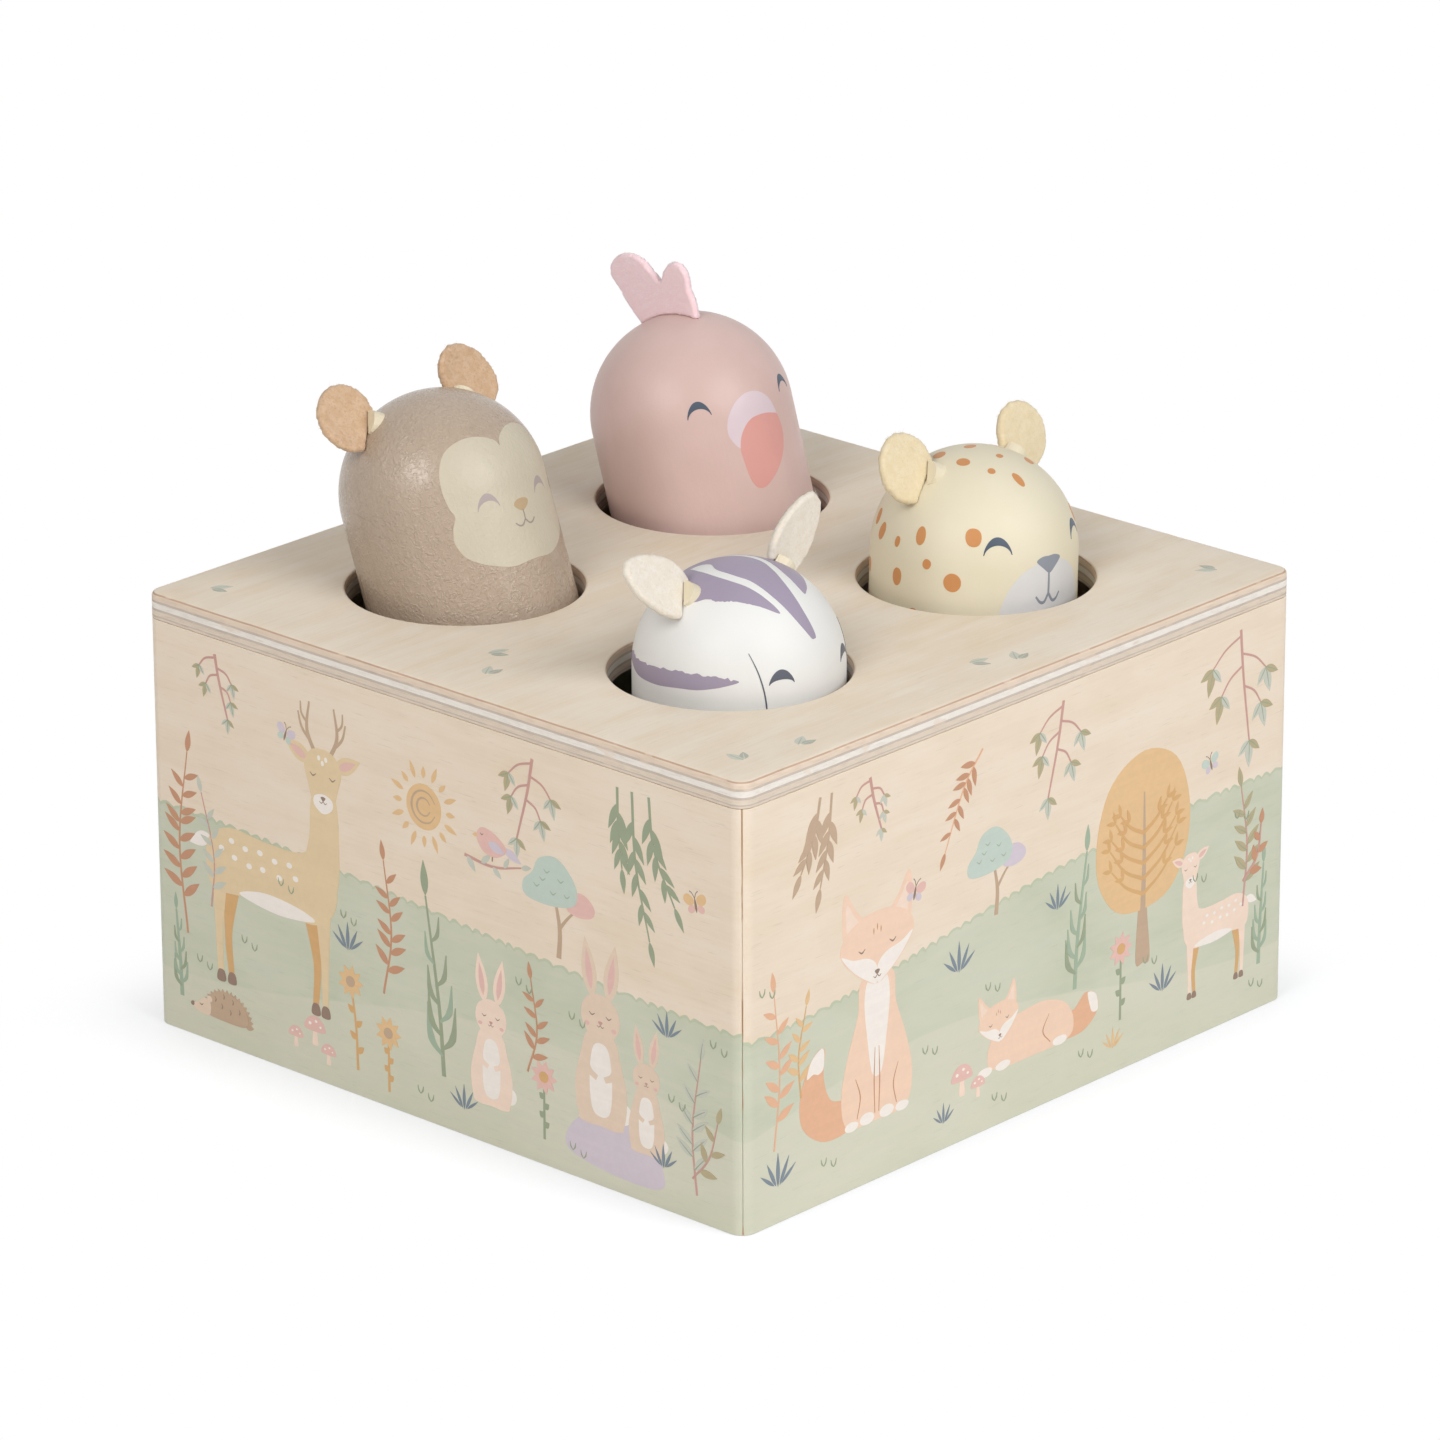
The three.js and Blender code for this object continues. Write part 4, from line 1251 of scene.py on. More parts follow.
def make_surround():
    """Soft light from all round, and plain white wherever the surround is seen."""
    world = bpy.data.worlds.new("studio")
    world.use_nodes = True
    bpy.context.scene.world = world
    tree = Tree(world.node_tree)
    ambient = tree.nodes["Background"]
    ambient.inputs["Color"].default_value = (1, 0.985, 0.975, 1)
    ambient.inputs["Strength"].default_value = AMBIENT_STRENGTH
    white = tree.add("ShaderNodeBackground", {}, {"Color": (1, 1, 1), "Strength": 1.0})
    chosen = tree.blend(tree.seen(), ambient.outputs[0], white.outputs[0])
    tree.feed(tree.nodes["World Output"].inputs["Surface"], chosen)
    bpy.context.scene.view_settings.view_transform = "Standard"


def glow(finish, strength):
    return finish.add("ShaderNodeEmission", {}, {"Color": (1, 1, 1), "Strength": strength}).outputs[0]


def make_floor():
    """A white floor. Where it is seen it keeps the soft shadow near the box, and there its glow is also dimmed by
    ambient occlusion, a painted shadow; beyond it is plain white.
    """
    finish = Finish("white floor", roughness=0.9, Specular_IOR_Level=0.0)
    speckle = finish.noise(40, 2)
    finish.set(Base_Color=finish.mix(speckle, (0.86, 0.86, 0.86), (0.88, 0.88, 0.88)))
    # Ambient occlusion dims the floor's glow near the box: a painted contact shadow.
    open_air = finish.add("ShaderNodeAmbientOcclusion", {"samples": 24}, {"Distance": PAINTED_SHADOW_REACH * MM}).outputs["AO"]
    glow_with_painted_shadow = finish.blend(open_air, glow(finish, PAINTED_SHADOW_FLOOR_GLOW), glow(finish, OPEN_FLOOR_GLOW))
    shadowed = finish.add("ShaderNodeBsdfDiffuse", {}, {"Color": (0.41, 0.42, 0.44)})
    near = finish.add("ShaderNodeAddShader", {}, {0: shadowed.outputs[0], 1: glow_with_painted_shadow})
    x, y = finish.along("X").size(), finish.along("Y").size()
    from_middle = (x + y + (x - y).size()) / 2
    far = (from_middle - BOX_WIDTH / 2 * MM).step(*(reach * MM for reach in SHADOW_FADE))
    faded = finish.blend(far, near.outputs[0], glow(finish, 1.0))
    picked = finish.blend(finish.seen(), finish.shader.outputs[0], faded)
    finish.feed(finish.nodes["Material Output"].inputs["Surface"], picked)
    corners = [(x * FLOOR_REACH, y * FLOOR_REACH, -FLOOR_DROP) for x, y in ((-1, -1), (1, -1), (1, 1), (-1, 1))]
    floor = make_mesh("floor", corners, [(0, 1, 2, 3)], [finish])


def make_stage():
    make_camera()
    make_surround()
    make_floor()
    for light in LIGHTS:
        area_light(*light)


def make_animals(finishes):
    faces = {"monkey": monkey_face, "parrot": parrot_face, "leopard": leopard_face, "zebra": zebra_face}
    for animal, face in faces.items():
        stance = Stance(animal)
        turned_peg(stance, finishes[f"{animal} coat"])
        sheets = Sheets(stance.on_surface)
        face(sheets)
        painted = sheets.piece(f"{animal}_face_paint", finishes)
        settle(painted, animal, (), stance.placed)
        coil_spring(stance, finishes["spring wire"])
        if animal in EAR_SHAPES:
            for seed, side in ((3, "left"), (4, "right")):
                felt_ear(stance, side, finishes[f"{animal} felt"], EAR_SHAPES[animal], seed)
        else:
            felt_comb(stance, finishes[f"{animal} felt"])


def make_finishes():
    """Every finish by the name that its pieces ask for."""
    finishes = {
        "birch board": plywood_board(),
        "inner birch": inner_birch(),
        "printed front": printed_panel("printed front", "X", 42.2, [(5.1, 22.4, 0.11), (1.1, 45, 1.57)]),
        "printed left": printed_panel("printed left", "Y", 41.0, [(3.3, 21, 0)]),
        "printed back": printed_panel("printed back", "X", 42.5, [(-2.5, 21, 0)]),
        "printed right": printed_panel("printed right", "Y", 43.3, [(-3.3, 21, 0)]),
        "beech": beech(),
        "plug paint": satin_paint("plug paint", "e3d9c0", "dcd0b3", 0.5, 0.3, 0.6),
        "zinc plate": drawn_steel("zinc plate", "c9c7bd", 0.34),
        "spring wire": drawn_steel("spring wire", "b4b5b8", 0.28),
        "monkey coat": satin_paint("taupe paint", "b3a08d", "a89580", 0.25, 1.3, 1.5),
        "parrot coat": satin_paint("dusty pink paint", "d5b9b2", "ccafa7", 0.4, 0.35, 0.6),
        "leopard coat": satin_paint("cream yellow paint", "e0d8c0", "dbd2b7", 0.5, 0.1, 0.6),
        "zebra coat": satin_paint("off-white paint", "e5e5e2", "e1e0dd", 0.52, 0.1, 0.6),
        "monkey felt": felt("tan felt", "d8b999", "cdaa86", "a07b57"),
        "parrot felt": felt("pink felt", "ffe2e6", "ffdce1", "ffd2d9", 0.8),
        "leopard felt": felt("straw felt", "ecdcba", "e7d5ae", "d9c396"),
        "zebra felt": felt("cream felt", "efe8dc", "eae0d0", "d8cbb4"),
    }
    for name, (colour, roughness, peel) in PAINTS.items():
        shade = "".join(f"{round(int(colour[i:i + 2], 16) * 0.95):02x}" for i in (0, 2, 4))
        finishes[name] = satin_paint(name, colour, shade, roughness, 0.2, peel)
    for name, colour in INKS.items():
        finishes[name] = ink(name, colour)
    return finishes


def leaf_outline(length, width):
    """A pointed leaf that starts at the origin and runs to the right."""
    shares = np.linspace(0, 1, 9)
    half = width / 2 * np.sin(np.pi * shares ** 0.8)
    upper = np.column_stack([length * shares, half])
    return np.vstack([upper, (upper * [1, -1])[-2:0:-1]])


def side_lay(turn):
    """What lays flat ink on a side of the box, numbered by its quarter turns from the front."""
    face = (BOX_DEPTH if turn % 2 == 0 else BOX_WIDTH) / 2

    def lay(flat, lift):
        x, y = rotated(flat[:, 0], -face - lift, turn * math.pi / 2)
        return np.column_stack([x, y, flat[:, 1]])
    return lay


def top_lay(flat, lift):
    """Lays flat ink on the top board."""
    return np.column_stack([flat, np.full(len(flat), BOX_HEIGHT + lift)])


class Pen:
    """Draws ink shapes round a place of a print, across and up from there."""

    def __init__(self, sheets, base=(0, 0), axes=((1, 0), (0, 1))):
        self.sheets = sheets
        self.base = np.array(base, float)
        self.axes = np.array(axes, float)

    def at(self, x, y, scale=1, flip=1, turn=0):
        """A pen at a place of this one, scaled, mirrored or turned."""
        c, s = math.cos(math.radians(turn)), math.sin(math.radians(turn))
        axes = np.diag([flip * scale, scale]) @ np.array([[c, s], [-s, c]]) @ self.axes
        return Pen(self.sheets, self.base + np.array([x, y]) @ self.axes, axes)

    def put(self, outline, ink_name):
        flat = np.asarray(outline, float) @ self.axes + self.base
        self.sheets.add(flat, PRINT_MESH, ink_name)

    def blob(self, points, ink_name):
        self.put(closed_curve(points, 5), ink_name)

    def line(self, points, widths, ink_name):
        self.put(stroke(points, widths), ink_name)

    def egg(self, x, y, width, height, ink_name, turn=0):
        pen = self.at(x, y, turn=turn)
        pen.put(oval(width, height, int(abs(x) * 7 + abs(y))), ink_name)

    def leaf(self, x, y, length, width, angle, ink_name, vein=None):
        pen = self.at(x, y, turn=angle)
        pen.put(leaf_outline(length, width), ink_name)
        if vein:
            pen.line([(0, 0), (length * 0.4, 0.05), (length * 0.8, 0)], [0.22, 0.2, 0.12], vein)


def sprig(pen, points, count, length, width, inks, stem, thick=0.6, spread=46, start=0.25, vein=None):
    """A stem along a curve with leaves to both sides and one at its tip."""
    line = open_curve(points, 10)
    pen.line(points, [thick, thick * 0.85, thick * 0.5], stem)
    for i in range(count):
        share = start + (0.97 - start) * i / count
        k = int(share * (len(line) - 2))
        run = line[k + 1] - line[k]
        along = math.degrees(math.atan2(run[1], run[0]))
        size = 1 - 0.35 * share
        side = 1 if i % 2 else -1
        colour = inks[(i + (side > 0)) % len(inks)]
        pen.leaf(*line[k], length * size, width * size, along + side * spread, colour, vein)
    run = line[-1] - line[-3]
    pen.leaf(*line[-1], length * 0.75, width * 0.75, math.degrees(math.atan2(run[1], run[0])), inks[0], vein)


def hanging_sprays(pen, places, sway, count, length, width, ink_name, spread):
    """Sprigs of one ink that hang down, at places as (across, reach, lean)."""
    for x, reach, lean in places:
        bend = [(0, 0), (lean * sway, -reach * 0.5), (lean, -reach)]
        sprig(pen.at(x, CANOPY), bend, count, length, width, [ink_name], ink_name, spread=spread)


def hanging_twig(pen, x, reach, lean, vein="moss green"):
    """A twig that hangs down, with side twigs that end in small sprays of leaves."""
    pen = pen.at(x, CANOPY)
    main = np.array([(0, 0), (lean * 0.35, -reach * 0.35), (lean, -reach * 0.8)])
    line = open_curve(main)
    pen.line(main, [0.7, 0.6, 0.4], "rose twig")
    ends = [(line[-1], 0)]
    for i, share in enumerate((0.08, 0.25, 0.43, 0.62)):
        place = line[int(share * (len(line) - 1))]
        side = 1 if i % 2 else -1
        tip = place + np.array([side * reach * (0.3 - 0.2 * share), -reach * 0.16])
        pen.line([place, (place + tip) / 2 + np.array([side * 0.5, 0.5]), tip], [0.45, 0.4, 0.3], "rose twig")
        ends.append((tip, side))
    for number, (tip, side) in enumerate(ends):
        for k, turn in enumerate((-90, -90 + 52, -90 - 52)):
            size = reach * (0.19 if k == 0 else 0.14)
            pen.leaf(*tip, size, size * 0.4, turn + side * 14, COOL_LEAVES[(number + k) % 2], vein)


def long_leaves(pen, height, lean, ink_name, shade):
    """A plant with long narrow leaves that curl up along its stem."""
    main = [(0, 0), (lean * 0.25, height * 0.4), (lean, height)]
    line = open_curve(main, 10)
    pen.line(main, [1.0, 0.8, 0.4], ink_name)
    for i in range(8):
        place = line[int((0.15 + 0.75 * i / 8) * (len(line) - 1))]
        side = 1 if i % 2 else -1
        reach = height * (0.3 - 0.02 * i)
        bend = [place, place + np.array([side * reach * 0.28, reach * 0.3]),
                place + np.array([side * reach * 0.36, reach * 0.95])]
        pen.line(bend, [0.5, reach * 0.17, 0.2], ink_name if i % 3 else shade)
    pen.leaf(*line[-1], height * 0.2, height * 0.055, 90 - lean, ink_name)


def tufts(pen, places, ink_name="dusk blue"):
    """Tufts of five narrow blades, at places as (across, up, size)."""
    for x, y, size in places:
        root = pen.at(x, y)
        for away in range(-2, 3):
            length = size * (1 - 0.14 * abs(away))
            root.leaf(away * size * 0.07, abs(away) * size * 0.03, length, length * 0.15, 90 - away * 26, ink_name)


def grass(pen, places):
    """Pairs of small grass ticks."""
    for place in places:
        root = pen.at(*place)
        for x, y in ((0, 0), (2.6, -0.9)):
            for side in (-1, 1):
                points = [(x, y), (x + side * 0.5, y + 0.6), (x + side * 0.7, y + 1.5)]
                root.line(points, [0.16, 0.34, 0.12], "moss green")


def flower(pen, height, inks, lean=0):
    """A round meadow flower on a stalk with a few leaves, in the inks of its petals, heart and stalk."""
    petal_ink, heart_ink, stem = inks
    top = np.array([lean, height])
    pen.line([(0, 0), (lean * 0.2, height * 0.5), top], [0.6, 0.5, 0.45], stem)
    for i in range(4):
        share = 0.2 + 0.15 * i
        pen.leaf(lean * share ** 2, height * share, height * 0.13, 1.3, 90 + (50 if i % 2 else -50), stem)
    head = pen.at(*top)
    for i in range(9):
        head.leaf(0, 0, 3.3, 1.5, 40 * i, petal_ink)
    head.egg(0, 0, 2.3, 2.1, heart_ink)


def toadstools(pen, places):
    """Toadstools with a dotted cap, at places as (across, up, scale)."""
    for place in places:
        root = pen.at(*place)
        root.blob([(-0.8, 0), (-0.7, 2), (-0.5, 3.6), (0.5, 3.6), (0.7, 2), (0.9, 0), (0, -0.3)], "pale peach")
        root.blob([(-3.2, 3.4), (-2.6, 5.2), (-1, 6.4), (1, 6.4), (2.6, 5.2), (3.2, 3.4), (1.4, 3.0), (-1.4, 3.0)],
                  "blush pink")
        for x, y, size in ((-1.5, 4.6, 0.9), (0.4, 5.4, 0.8), (1.7, 4.3, 0.7)):
            root.egg(x, y, size, size * 0.8, "milk white")


def soft_tree(pen, crown_ink, side_ink, mark_ink="sea green"):
    """A far tree with a rounded crown of three lobes and a smaller bush crown beside it."""
    pen.line([(0, -2), (0.3, 3), (-0.6, 8)], [1.1, 0.9, 0.6], "bark brown")
    pen.line([(0.2, 3.4), (2.4, 6), (4.6, 8)], [0.7, 0.5, 0.4], "bark brown")
    pen.blob([(2, 7.4), (2.4, 9.6), (4.4, 11), (6.8, 10.6), (8.4, 8.8), (7.6, 7.2), (4.6, 6.6)], side_ink)
    pen.blob([(-7.5, 7.5), (-8.2, 10), (-6, 12.2), (-4.4, 15), (-0.6, 16), (2.6, 14), (4.4, 11), (3.4, 8.2), (-2, 7)],
             crown_ink)
    for x, y in ((-5, 10), (-2.6, 13), (0.6, 12), (-1.2, 9.4), (2, 9.6), (-3.6, 11.4)):
        pen.line([(x - 0.7, y + 0.3), (x, y - 0.2), (x + 0.7, y + 0.3)], [0.14, 0.28, 0.14], mark_ink)


def autumn_tree(pen):
    """A near tree with a tall round crown, in which the boughs spread like rays."""
    pen.blob([(-1.8, -12), (-1.3, -2), (-0.8, 6), (0.8, 6), (1.2, -2), (2.2, -12), (0.2, -12.6)], "bark brown")
    pen.blob([(-12.5, 6), (-13, 16), (-9, 25), (0, 29), (9, 25.5), (13, 16), (12, 6), (6, -1), (-6, -1.2)],
             "sun ochre")
    pen.line([(0, -3), (0.2, 8), (0, 21)], [1.5, 1.0, 0.4], "bark brown")
    for i, (start, length) in enumerate(((1, 9), (4, 9.5), (7, 9), (10, 8), (13, 6.5))):
        for side in (-1, 1):
            tip = np.array([side * length, start + length * 0.75 + (i % 2) * 0.8])
            pen.line([(0, start), (side * length * 0.55, start + length * 0.3), tip], [0.8, 0.6, 0.3], "deep gold")
            for share in (0.62, 1):
                spot = tip * share + np.array([0, start]) * (1 - share) + np.array([0, 0.2])
                for lift in (34, -30):
                    pen.leaf(*spot, 2.7, 0.9, 90 - side * (50 - lift), "deep gold")


def sun(pen):
    """A disc with two rings in it and short rays round it."""
    pen.egg(0, 0, 8.4, 8.2, "sun ochre")
    for ring in (2.9, 1.6):
        points = [(ring * math.cos(a), ring * math.sin(a)) for a in np.linspace(0.4, 5.9, 9)]
        pen.line(points, [0.2, 0.5, 0.2], "bark brown")
    for i in range(16):
        pen.leaf(*(heading(22.5 * i) * 5.2), 3.2 if i % 2 else 2.2, 1.0, 22.5 * i, "sun ochre")


def butterfly(pen, wing_ink, low_ink):
    for side in (-1, 1):
        pen.egg(side * 1.7, 0.9, 2.8, 2.2, wing_ink, turn=side * 30)
        pen.egg(side * 1.3, -1.0, 1.9, 1.6, low_ink, turn=side * -30)
        pen.line([(0, 1.2), (side * 0.5, 2.2), (side * 1.1, 2.7)], [0.14, 0.14, 0.2], "umber line")
    pen.leaf(0, -1.7, 3.2, 0.6, 90, "umber line")


def dozing_face(pen, gap, nose_drop, nose_ink="umber line"):
    """Two closed eyes, a nose and a small smile."""
    for side in (-1, 1):
        points = [(side * gap - 0.85, 0.15), (side * gap, -0.4), (side * gap + 0.85, 0.15)]
        pen.line(points, [0.12, 0.34, 0.12], "umber line")
    pen.blob([(-0.65, -nose_drop), (0, 0.25 - nose_drop), (0.65, -nose_drop), (0, -0.7 - nose_drop)], nose_ink)
    for side in (-1, 1):
        points = [(0, -0.7 - nose_drop), (side * 0.5, -1.15 - nose_drop), (side * 1.0, -0.85 - nose_drop)]
        pen.line(points, [0.14, 0.2, 0.1], "umber line")


def spots(pen, places, width=1.3, height=1.0):
    for x, y in places:
        pen.egg(x, y, width, height, "milk white")


def fox_head(pen):
    for side in (-1, 1):
        ear = pen.at(side * 5, 4, flip=side)
        ear.blob([(-2.6, 1.2), (0.2, 4.4), (3.0, 8.2), (3.8, 4.4), (3.2, -0.6), (0, -1)], "fox peach")
        ear.blob([(-0.6, 1.6), (1, 4.0), (2.6, 6.2), (2.9, 3.6), (2.3, 0.6)], "pale peach")
    pen.blob([(-9.2, 1.2), (-8, 4.6), (-4, 6.6), (0, 7), (4, 6.6), (8, 4.6), (9.2, 1.2), (6, -2.6), (2, -5.4),
              (0, -6), (-2, -5.4), (-6, -2.6)], "fox peach")
    for side in (-1, 1):
        cheek = pen.at(0, 0, flip=side)
        cheek.blob([(9, 1.1), (6, -2.4), (2, -5.2), (0.1, -5.8), (0.2, -2.6), (2.4, -0.9), (6, -0.2)], "milk white")
    dozing_face(pen.at(0, 0.9), 3.9, 4.6)
    for x, y in ((-0.9, 4.2), (0, 4.8), (0.9, 4.2)):
        pen.line([(x, y), (x, y - 0.6), (x, y - 1.2)], [0.12, 0.3, 0.1], "rust leaf")


def sitting_fox(pen):
    pen.blob([(6, 0.4), (13, -0.4), (18.6, 3.6), (19.2, 9.6), (16.4, 15.4), (13.2, 16.6), (13.4, 11.4), (11.6, 6.8),
              (7, 5)], "soft orange")
    pen.blob([(13.4, 13.4), (14.6, 12.4), (16.0, 12.8), (17.6, 12.4), (16.4, 15.4), (13.6, 16.8)], "milk white")
    pen.blob([(-7.4, 0.2), (-9, 6), (-7.4, 13), (-4.8, 20), (-3.8, 26), (3.8, 26), (4.8, 20), (7.4, 13), (9, 6),
              (7.4, 0.2), (0, -0.4)], "fox peach")
    pen.blob([(-1.4, 9), (-2.6, 16), (-3.2, 22), (-2, 26), (2, 26), (3.2, 22), (2.6, 16), (1.4, 9), (0, 7.6)],
             "milk white")
    for side in (-1, 1):
        pen.line([(side * 0.5, 13), (side * 0.7, 7), (side * 0.5, 1)], [0.14, 0.3, 0.2], "rust leaf")
        pen.line([(side * 5.4, 8.6), (side * 4.2, 5), (side * 5.0, 1.2)], [0.14, 0.3, 0.2], "rust leaf")
        pen.egg(side * 2.5, 0.5, 3.6, 2.2, "milk white")
        pen.egg(side * 6.4, 0.2, 3.4, 1.8, "milk white")
    fox_head(pen.at(0, 30.5))


def lying_fox(pen):
    pen.blob([(8, 0.6), (15, 0), (19.4, 3), (19, 6.6), (15.8, 7.8), (12.6, 5.4), (9, 5.4)], "soft orange")
    pen.blob([(17.2, 4.8), (18.0, 3.2), (19.6, 3.4), (19, 6.6), (16.6, 7.6)], "milk white")
    pen.blob([(-11, 0.2), (-12.6, 4), (-9.6, 8.6), (-3, 9.6), (4, 9.8), (10, 7.6), (12.4, 3.4), (10.6, 0), (0, -0.4)],
             "fox peach")
    pen.line([(5.2, 6.8), (3.4, 3.6), (5.6, 0.8)], [0.14, 0.32, 0.2], "rust leaf")
    for x in (-13.4, -8.2, 8.4):
        pen.egg(x, 0.3, 4.2, 1.9, "milk white")
    fox_head(pen.at(-9.4, 9.2, 0.62, turn=6))


def deer_head(pen, coat, antlers=False):
    if antlers:
        for side in (-1, 1):
            horn = pen.at(0, 0, flip=side)
            horn.line([(1.2, 3), (3.4, 7.4), (2.8, 12.4)], [0.9, 0.7, 0.35], "bark brown")
            horn.line([(2.7, 5.6), (4.6, 7.6), (5.4, 10.2)], [0.6, 0.5, 0.3], "bark brown")
            horn.line([(3.3, 8.6), (4.6, 10), (4.8, 12)], [0.5, 0.4, 0.25], "bark brown")
    for side in (-1, 1):
        ear = pen.at(0, 0, flip=side)
        ear.leaf(2.6, 2.0, 6.6, 3.0, 24, coat)
        ear.leaf(3.6, 2.4, 4.4, 1.5, 24, "blush pink")
    pen.blob([(-4.2, 1.6), (-3.4, -1.6), (-2.2, -5), (0, -6.4), (2.2, -5), (3.4, -1.6), (4.2, 1.6), (2.6, 4.2),
              (0, 4.8), (-2.6, 4.2)], coat)
    pen.blob([(-2.0, -3.6), (-2.0, -5.2), (0, -6.3), (2.0, -5.2), (2.0, -3.6), (0, -2.9)], "milk white")
    dozing_face(pen.at(0, 0.2, 0.85), 2.6, 4.4)
    spots(pen, ((-0.8, 3.2), (0.8, 3.2), (0, 2.4)), 0.7, 0.9)


def standing_deer(pen, coat="fawn gold", antlers=False):
    """A deer in profile, its far legs in a darker ink than its coat."""
    for x, sway, ink_name in ((-9.5, -1.4, "deep gold"), (8.4, 1.4, "deep gold"),
                              (-12.6, -0.4, coat), (11.4, 0.2, coat)):
        foot = x + sway * 0.6
        pen.line([(x, 18), (x + sway, 9), (foot, 1.2)], [3.4, 1.7, 1.3], ink_name)
        pen.blob([(foot - 0.9, 0), (foot - 0.6, 1.8), (foot + 0.7, 1.8), (foot + 1.0, 0)], "umber line")
    pen.leaf(-14.6, 25, 5.4, 2.6, 205, "milk white")
    pen.blob([(-13.6, 16), (-15.6, 20), (-14.8, 25), (-10, 27.6), (-2, 27.2), (6, 27.4), (12, 30), (14.6, 25), (14, 19),
              (9, 15.6), (-4, 16.4)], coat)
    pen.blob([(-8, 16.8), (-2, 18.2), (6, 17.6), (9.4, 16.2), (2, 15.2), (-5, 15.8)], "milk white")
    pen.blob([(7, 24), (8.6, 31), (9.6, 38.6), (14.6, 38.6), (15.4, 31), (14.8, 23), (11, 20)], coat)
    spots(pen, ((-12, 23.6), (-9.6, 25.4), (-9, 22.6), (-6.4, 24.8), (-5.6, 22), (-3, 25), (-2.4, 22.2), (0.4, 24.4),
                (1.4, 21.8), (3.8, 24.6), (5.2, 22.6)))
    deer_head(pen.at(12, 42), coat, antlers)


def resting_deer(pen):
    pen.blob([(-15, 0), (-16.6, 5), (-13.4, 11), (-6, 13), (3, 12.2), (11, 13.6), (14, 8), (13, 1.4), (2, -0.4)],
             "fawn gold")
    pen.blob([(7, 10), (8.4, 16), (9.4, 22), (14, 22), (14.6, 15), (14, 8), (11, 6)], "fawn gold")
    pen.line([(12, 4), (7, 1.4), (1.6, 0.8)], [2.4, 1.9, 1.4], "deep gold")
    pen.line([(-12, 3.6), (-8, 1), (-2.8, 0.4)], [3.4, 2.0, 1.4], "deep gold")
    pen.leaf(-15.6, 7, 4.6, 2.4, 200, "milk white")
    spots(pen, ((-12, 8.6), (-9.4, 10.8), (-8.4, 7.6), (-5.6, 10.8), (-4.2, 8), (-1.4, 10.4), (0.6, 7.8), (3.6, 9.8)))
    deer_head(pen.at(11.6, 25, 0.9), "fawn gold")


def sitting_hare(pen, coat="hare beige"):
    pen.egg(5.2, 3.2, 4, 3.8, "milk white")
    for side in (-1, 1):
        ear = pen.at(side * 1.8, 22.4, turn=side * -9)
        ear.leaf(0, 0, 11, 3.4, 90, coat)
        ear.leaf(0, 1.6, 7.4, 1.5, 90, "blush pink")
    pen.blob([(-4.8, 0), (-6, 6), (-4.6, 12), (-2.8, 16.4), (2.8, 16.4), (4.6, 12), (6, 6), (4.8, 0), (0, -0.4)], coat)
    pen.blob([(-1.8, 2), (-2.6, 8), (-1.6, 14), (1.6, 14), (2.6, 8), (1.8, 2)], "milk white")
    for side in (-1, 1):
        pen.line([(side * 3.4, 12.4), (side * 2.8, 9.4), (side * 0.9, 8.2)], [1.0, 1.3, 1.1], coat)
        pen.egg(side * 3.2, 0.4, 4.2, 1.9, coat)
    pen.blob([(-4.4, 18.6), (-3.6, 22), (0, 23.6), (3.6, 22), (4.4, 18.6), (2.6, 15.8), (0, 15), (-2.6, 15.8)], coat)
    dozing_face(pen.at(0, 19.8, 0.8), 2.4, 1.6, nose_ink="rose twig")
    for side in (-1, 1):
        pen.egg(side * 3.1, 17.7, 1.2, 0.8, "blush pink")


def hedgehog(pen):
    """A hedgehog, its back a row of short quills."""
    for i in range(17):
        angle = 4 + 9.6 * i
        pen.leaf(*(heading(angle) * [5.6, 4.8]), 2.6, 1.4, angle, "bark brown")
    pen.blob([(-6.4, 0.4), (-6.6, 3.4), (-3.8, 6), (0, 6.6), (4, 5.6), (6.4, 2.6), (5.8, 0.2), (0, -0.2)],
             "bark brown")
    for x, y in ((-3.6, 3.8), (-1, 5), (1.8, 4.4), (-1.6, 2.6), (3.8, 2.6), (1, 1.8)):
        pen.line([(x, y), (x + 0.2, y + 0.6), (x - 0.1, y + 1.3)], [0.3, 0.3, 0.1], "umber line")
    pen.blob([(-5.6, 0), (-5.2, 3), (-7, 3.8), (-9, 2.4), (-10.8, 1.4), (-9.2, 0.2)], "hare beige")
    pen.egg(-10.8, 1.5, 1.1, 1.0, "umber line")
    pen.line([(-8.6, 2.2), (-8.0, 1.9), (-7.4, 2.3)], [0.12, 0.3, 0.12], "umber line")
    pen.egg(-5.4, 3.9, 1.6, 1.5, "hare beige")


def perched_bird(pen):
    pen.line([(0.4, -2.6), (0.5, -1.2), (0.4, 0)], [0.3, 0.3, 0.3], "umber line")
    pen.leaf(3.4, 0.8, 5, 1.8, -24, "soft lilac")
    pen.blob([(-3.6, 1.4), (-2.6, 3.4), (0, 3.4), (3, 1.8), (4.2, 0.2), (1.4, -1.6), (-1.8, -1.2)], "blush pink")
    pen.leaf(-0.6, 1.0, 4.6, 2.0, -18, "soft lilac")
    pen.leaf(-3.3, 1.8, 1.4, 0.8, 190, "sun ochre")
    pen.line([(-2.6, 2.4), (-2.2, 2.1), (-1.8, 2.4)], [0.1, 0.26, 0.1], "umber line")


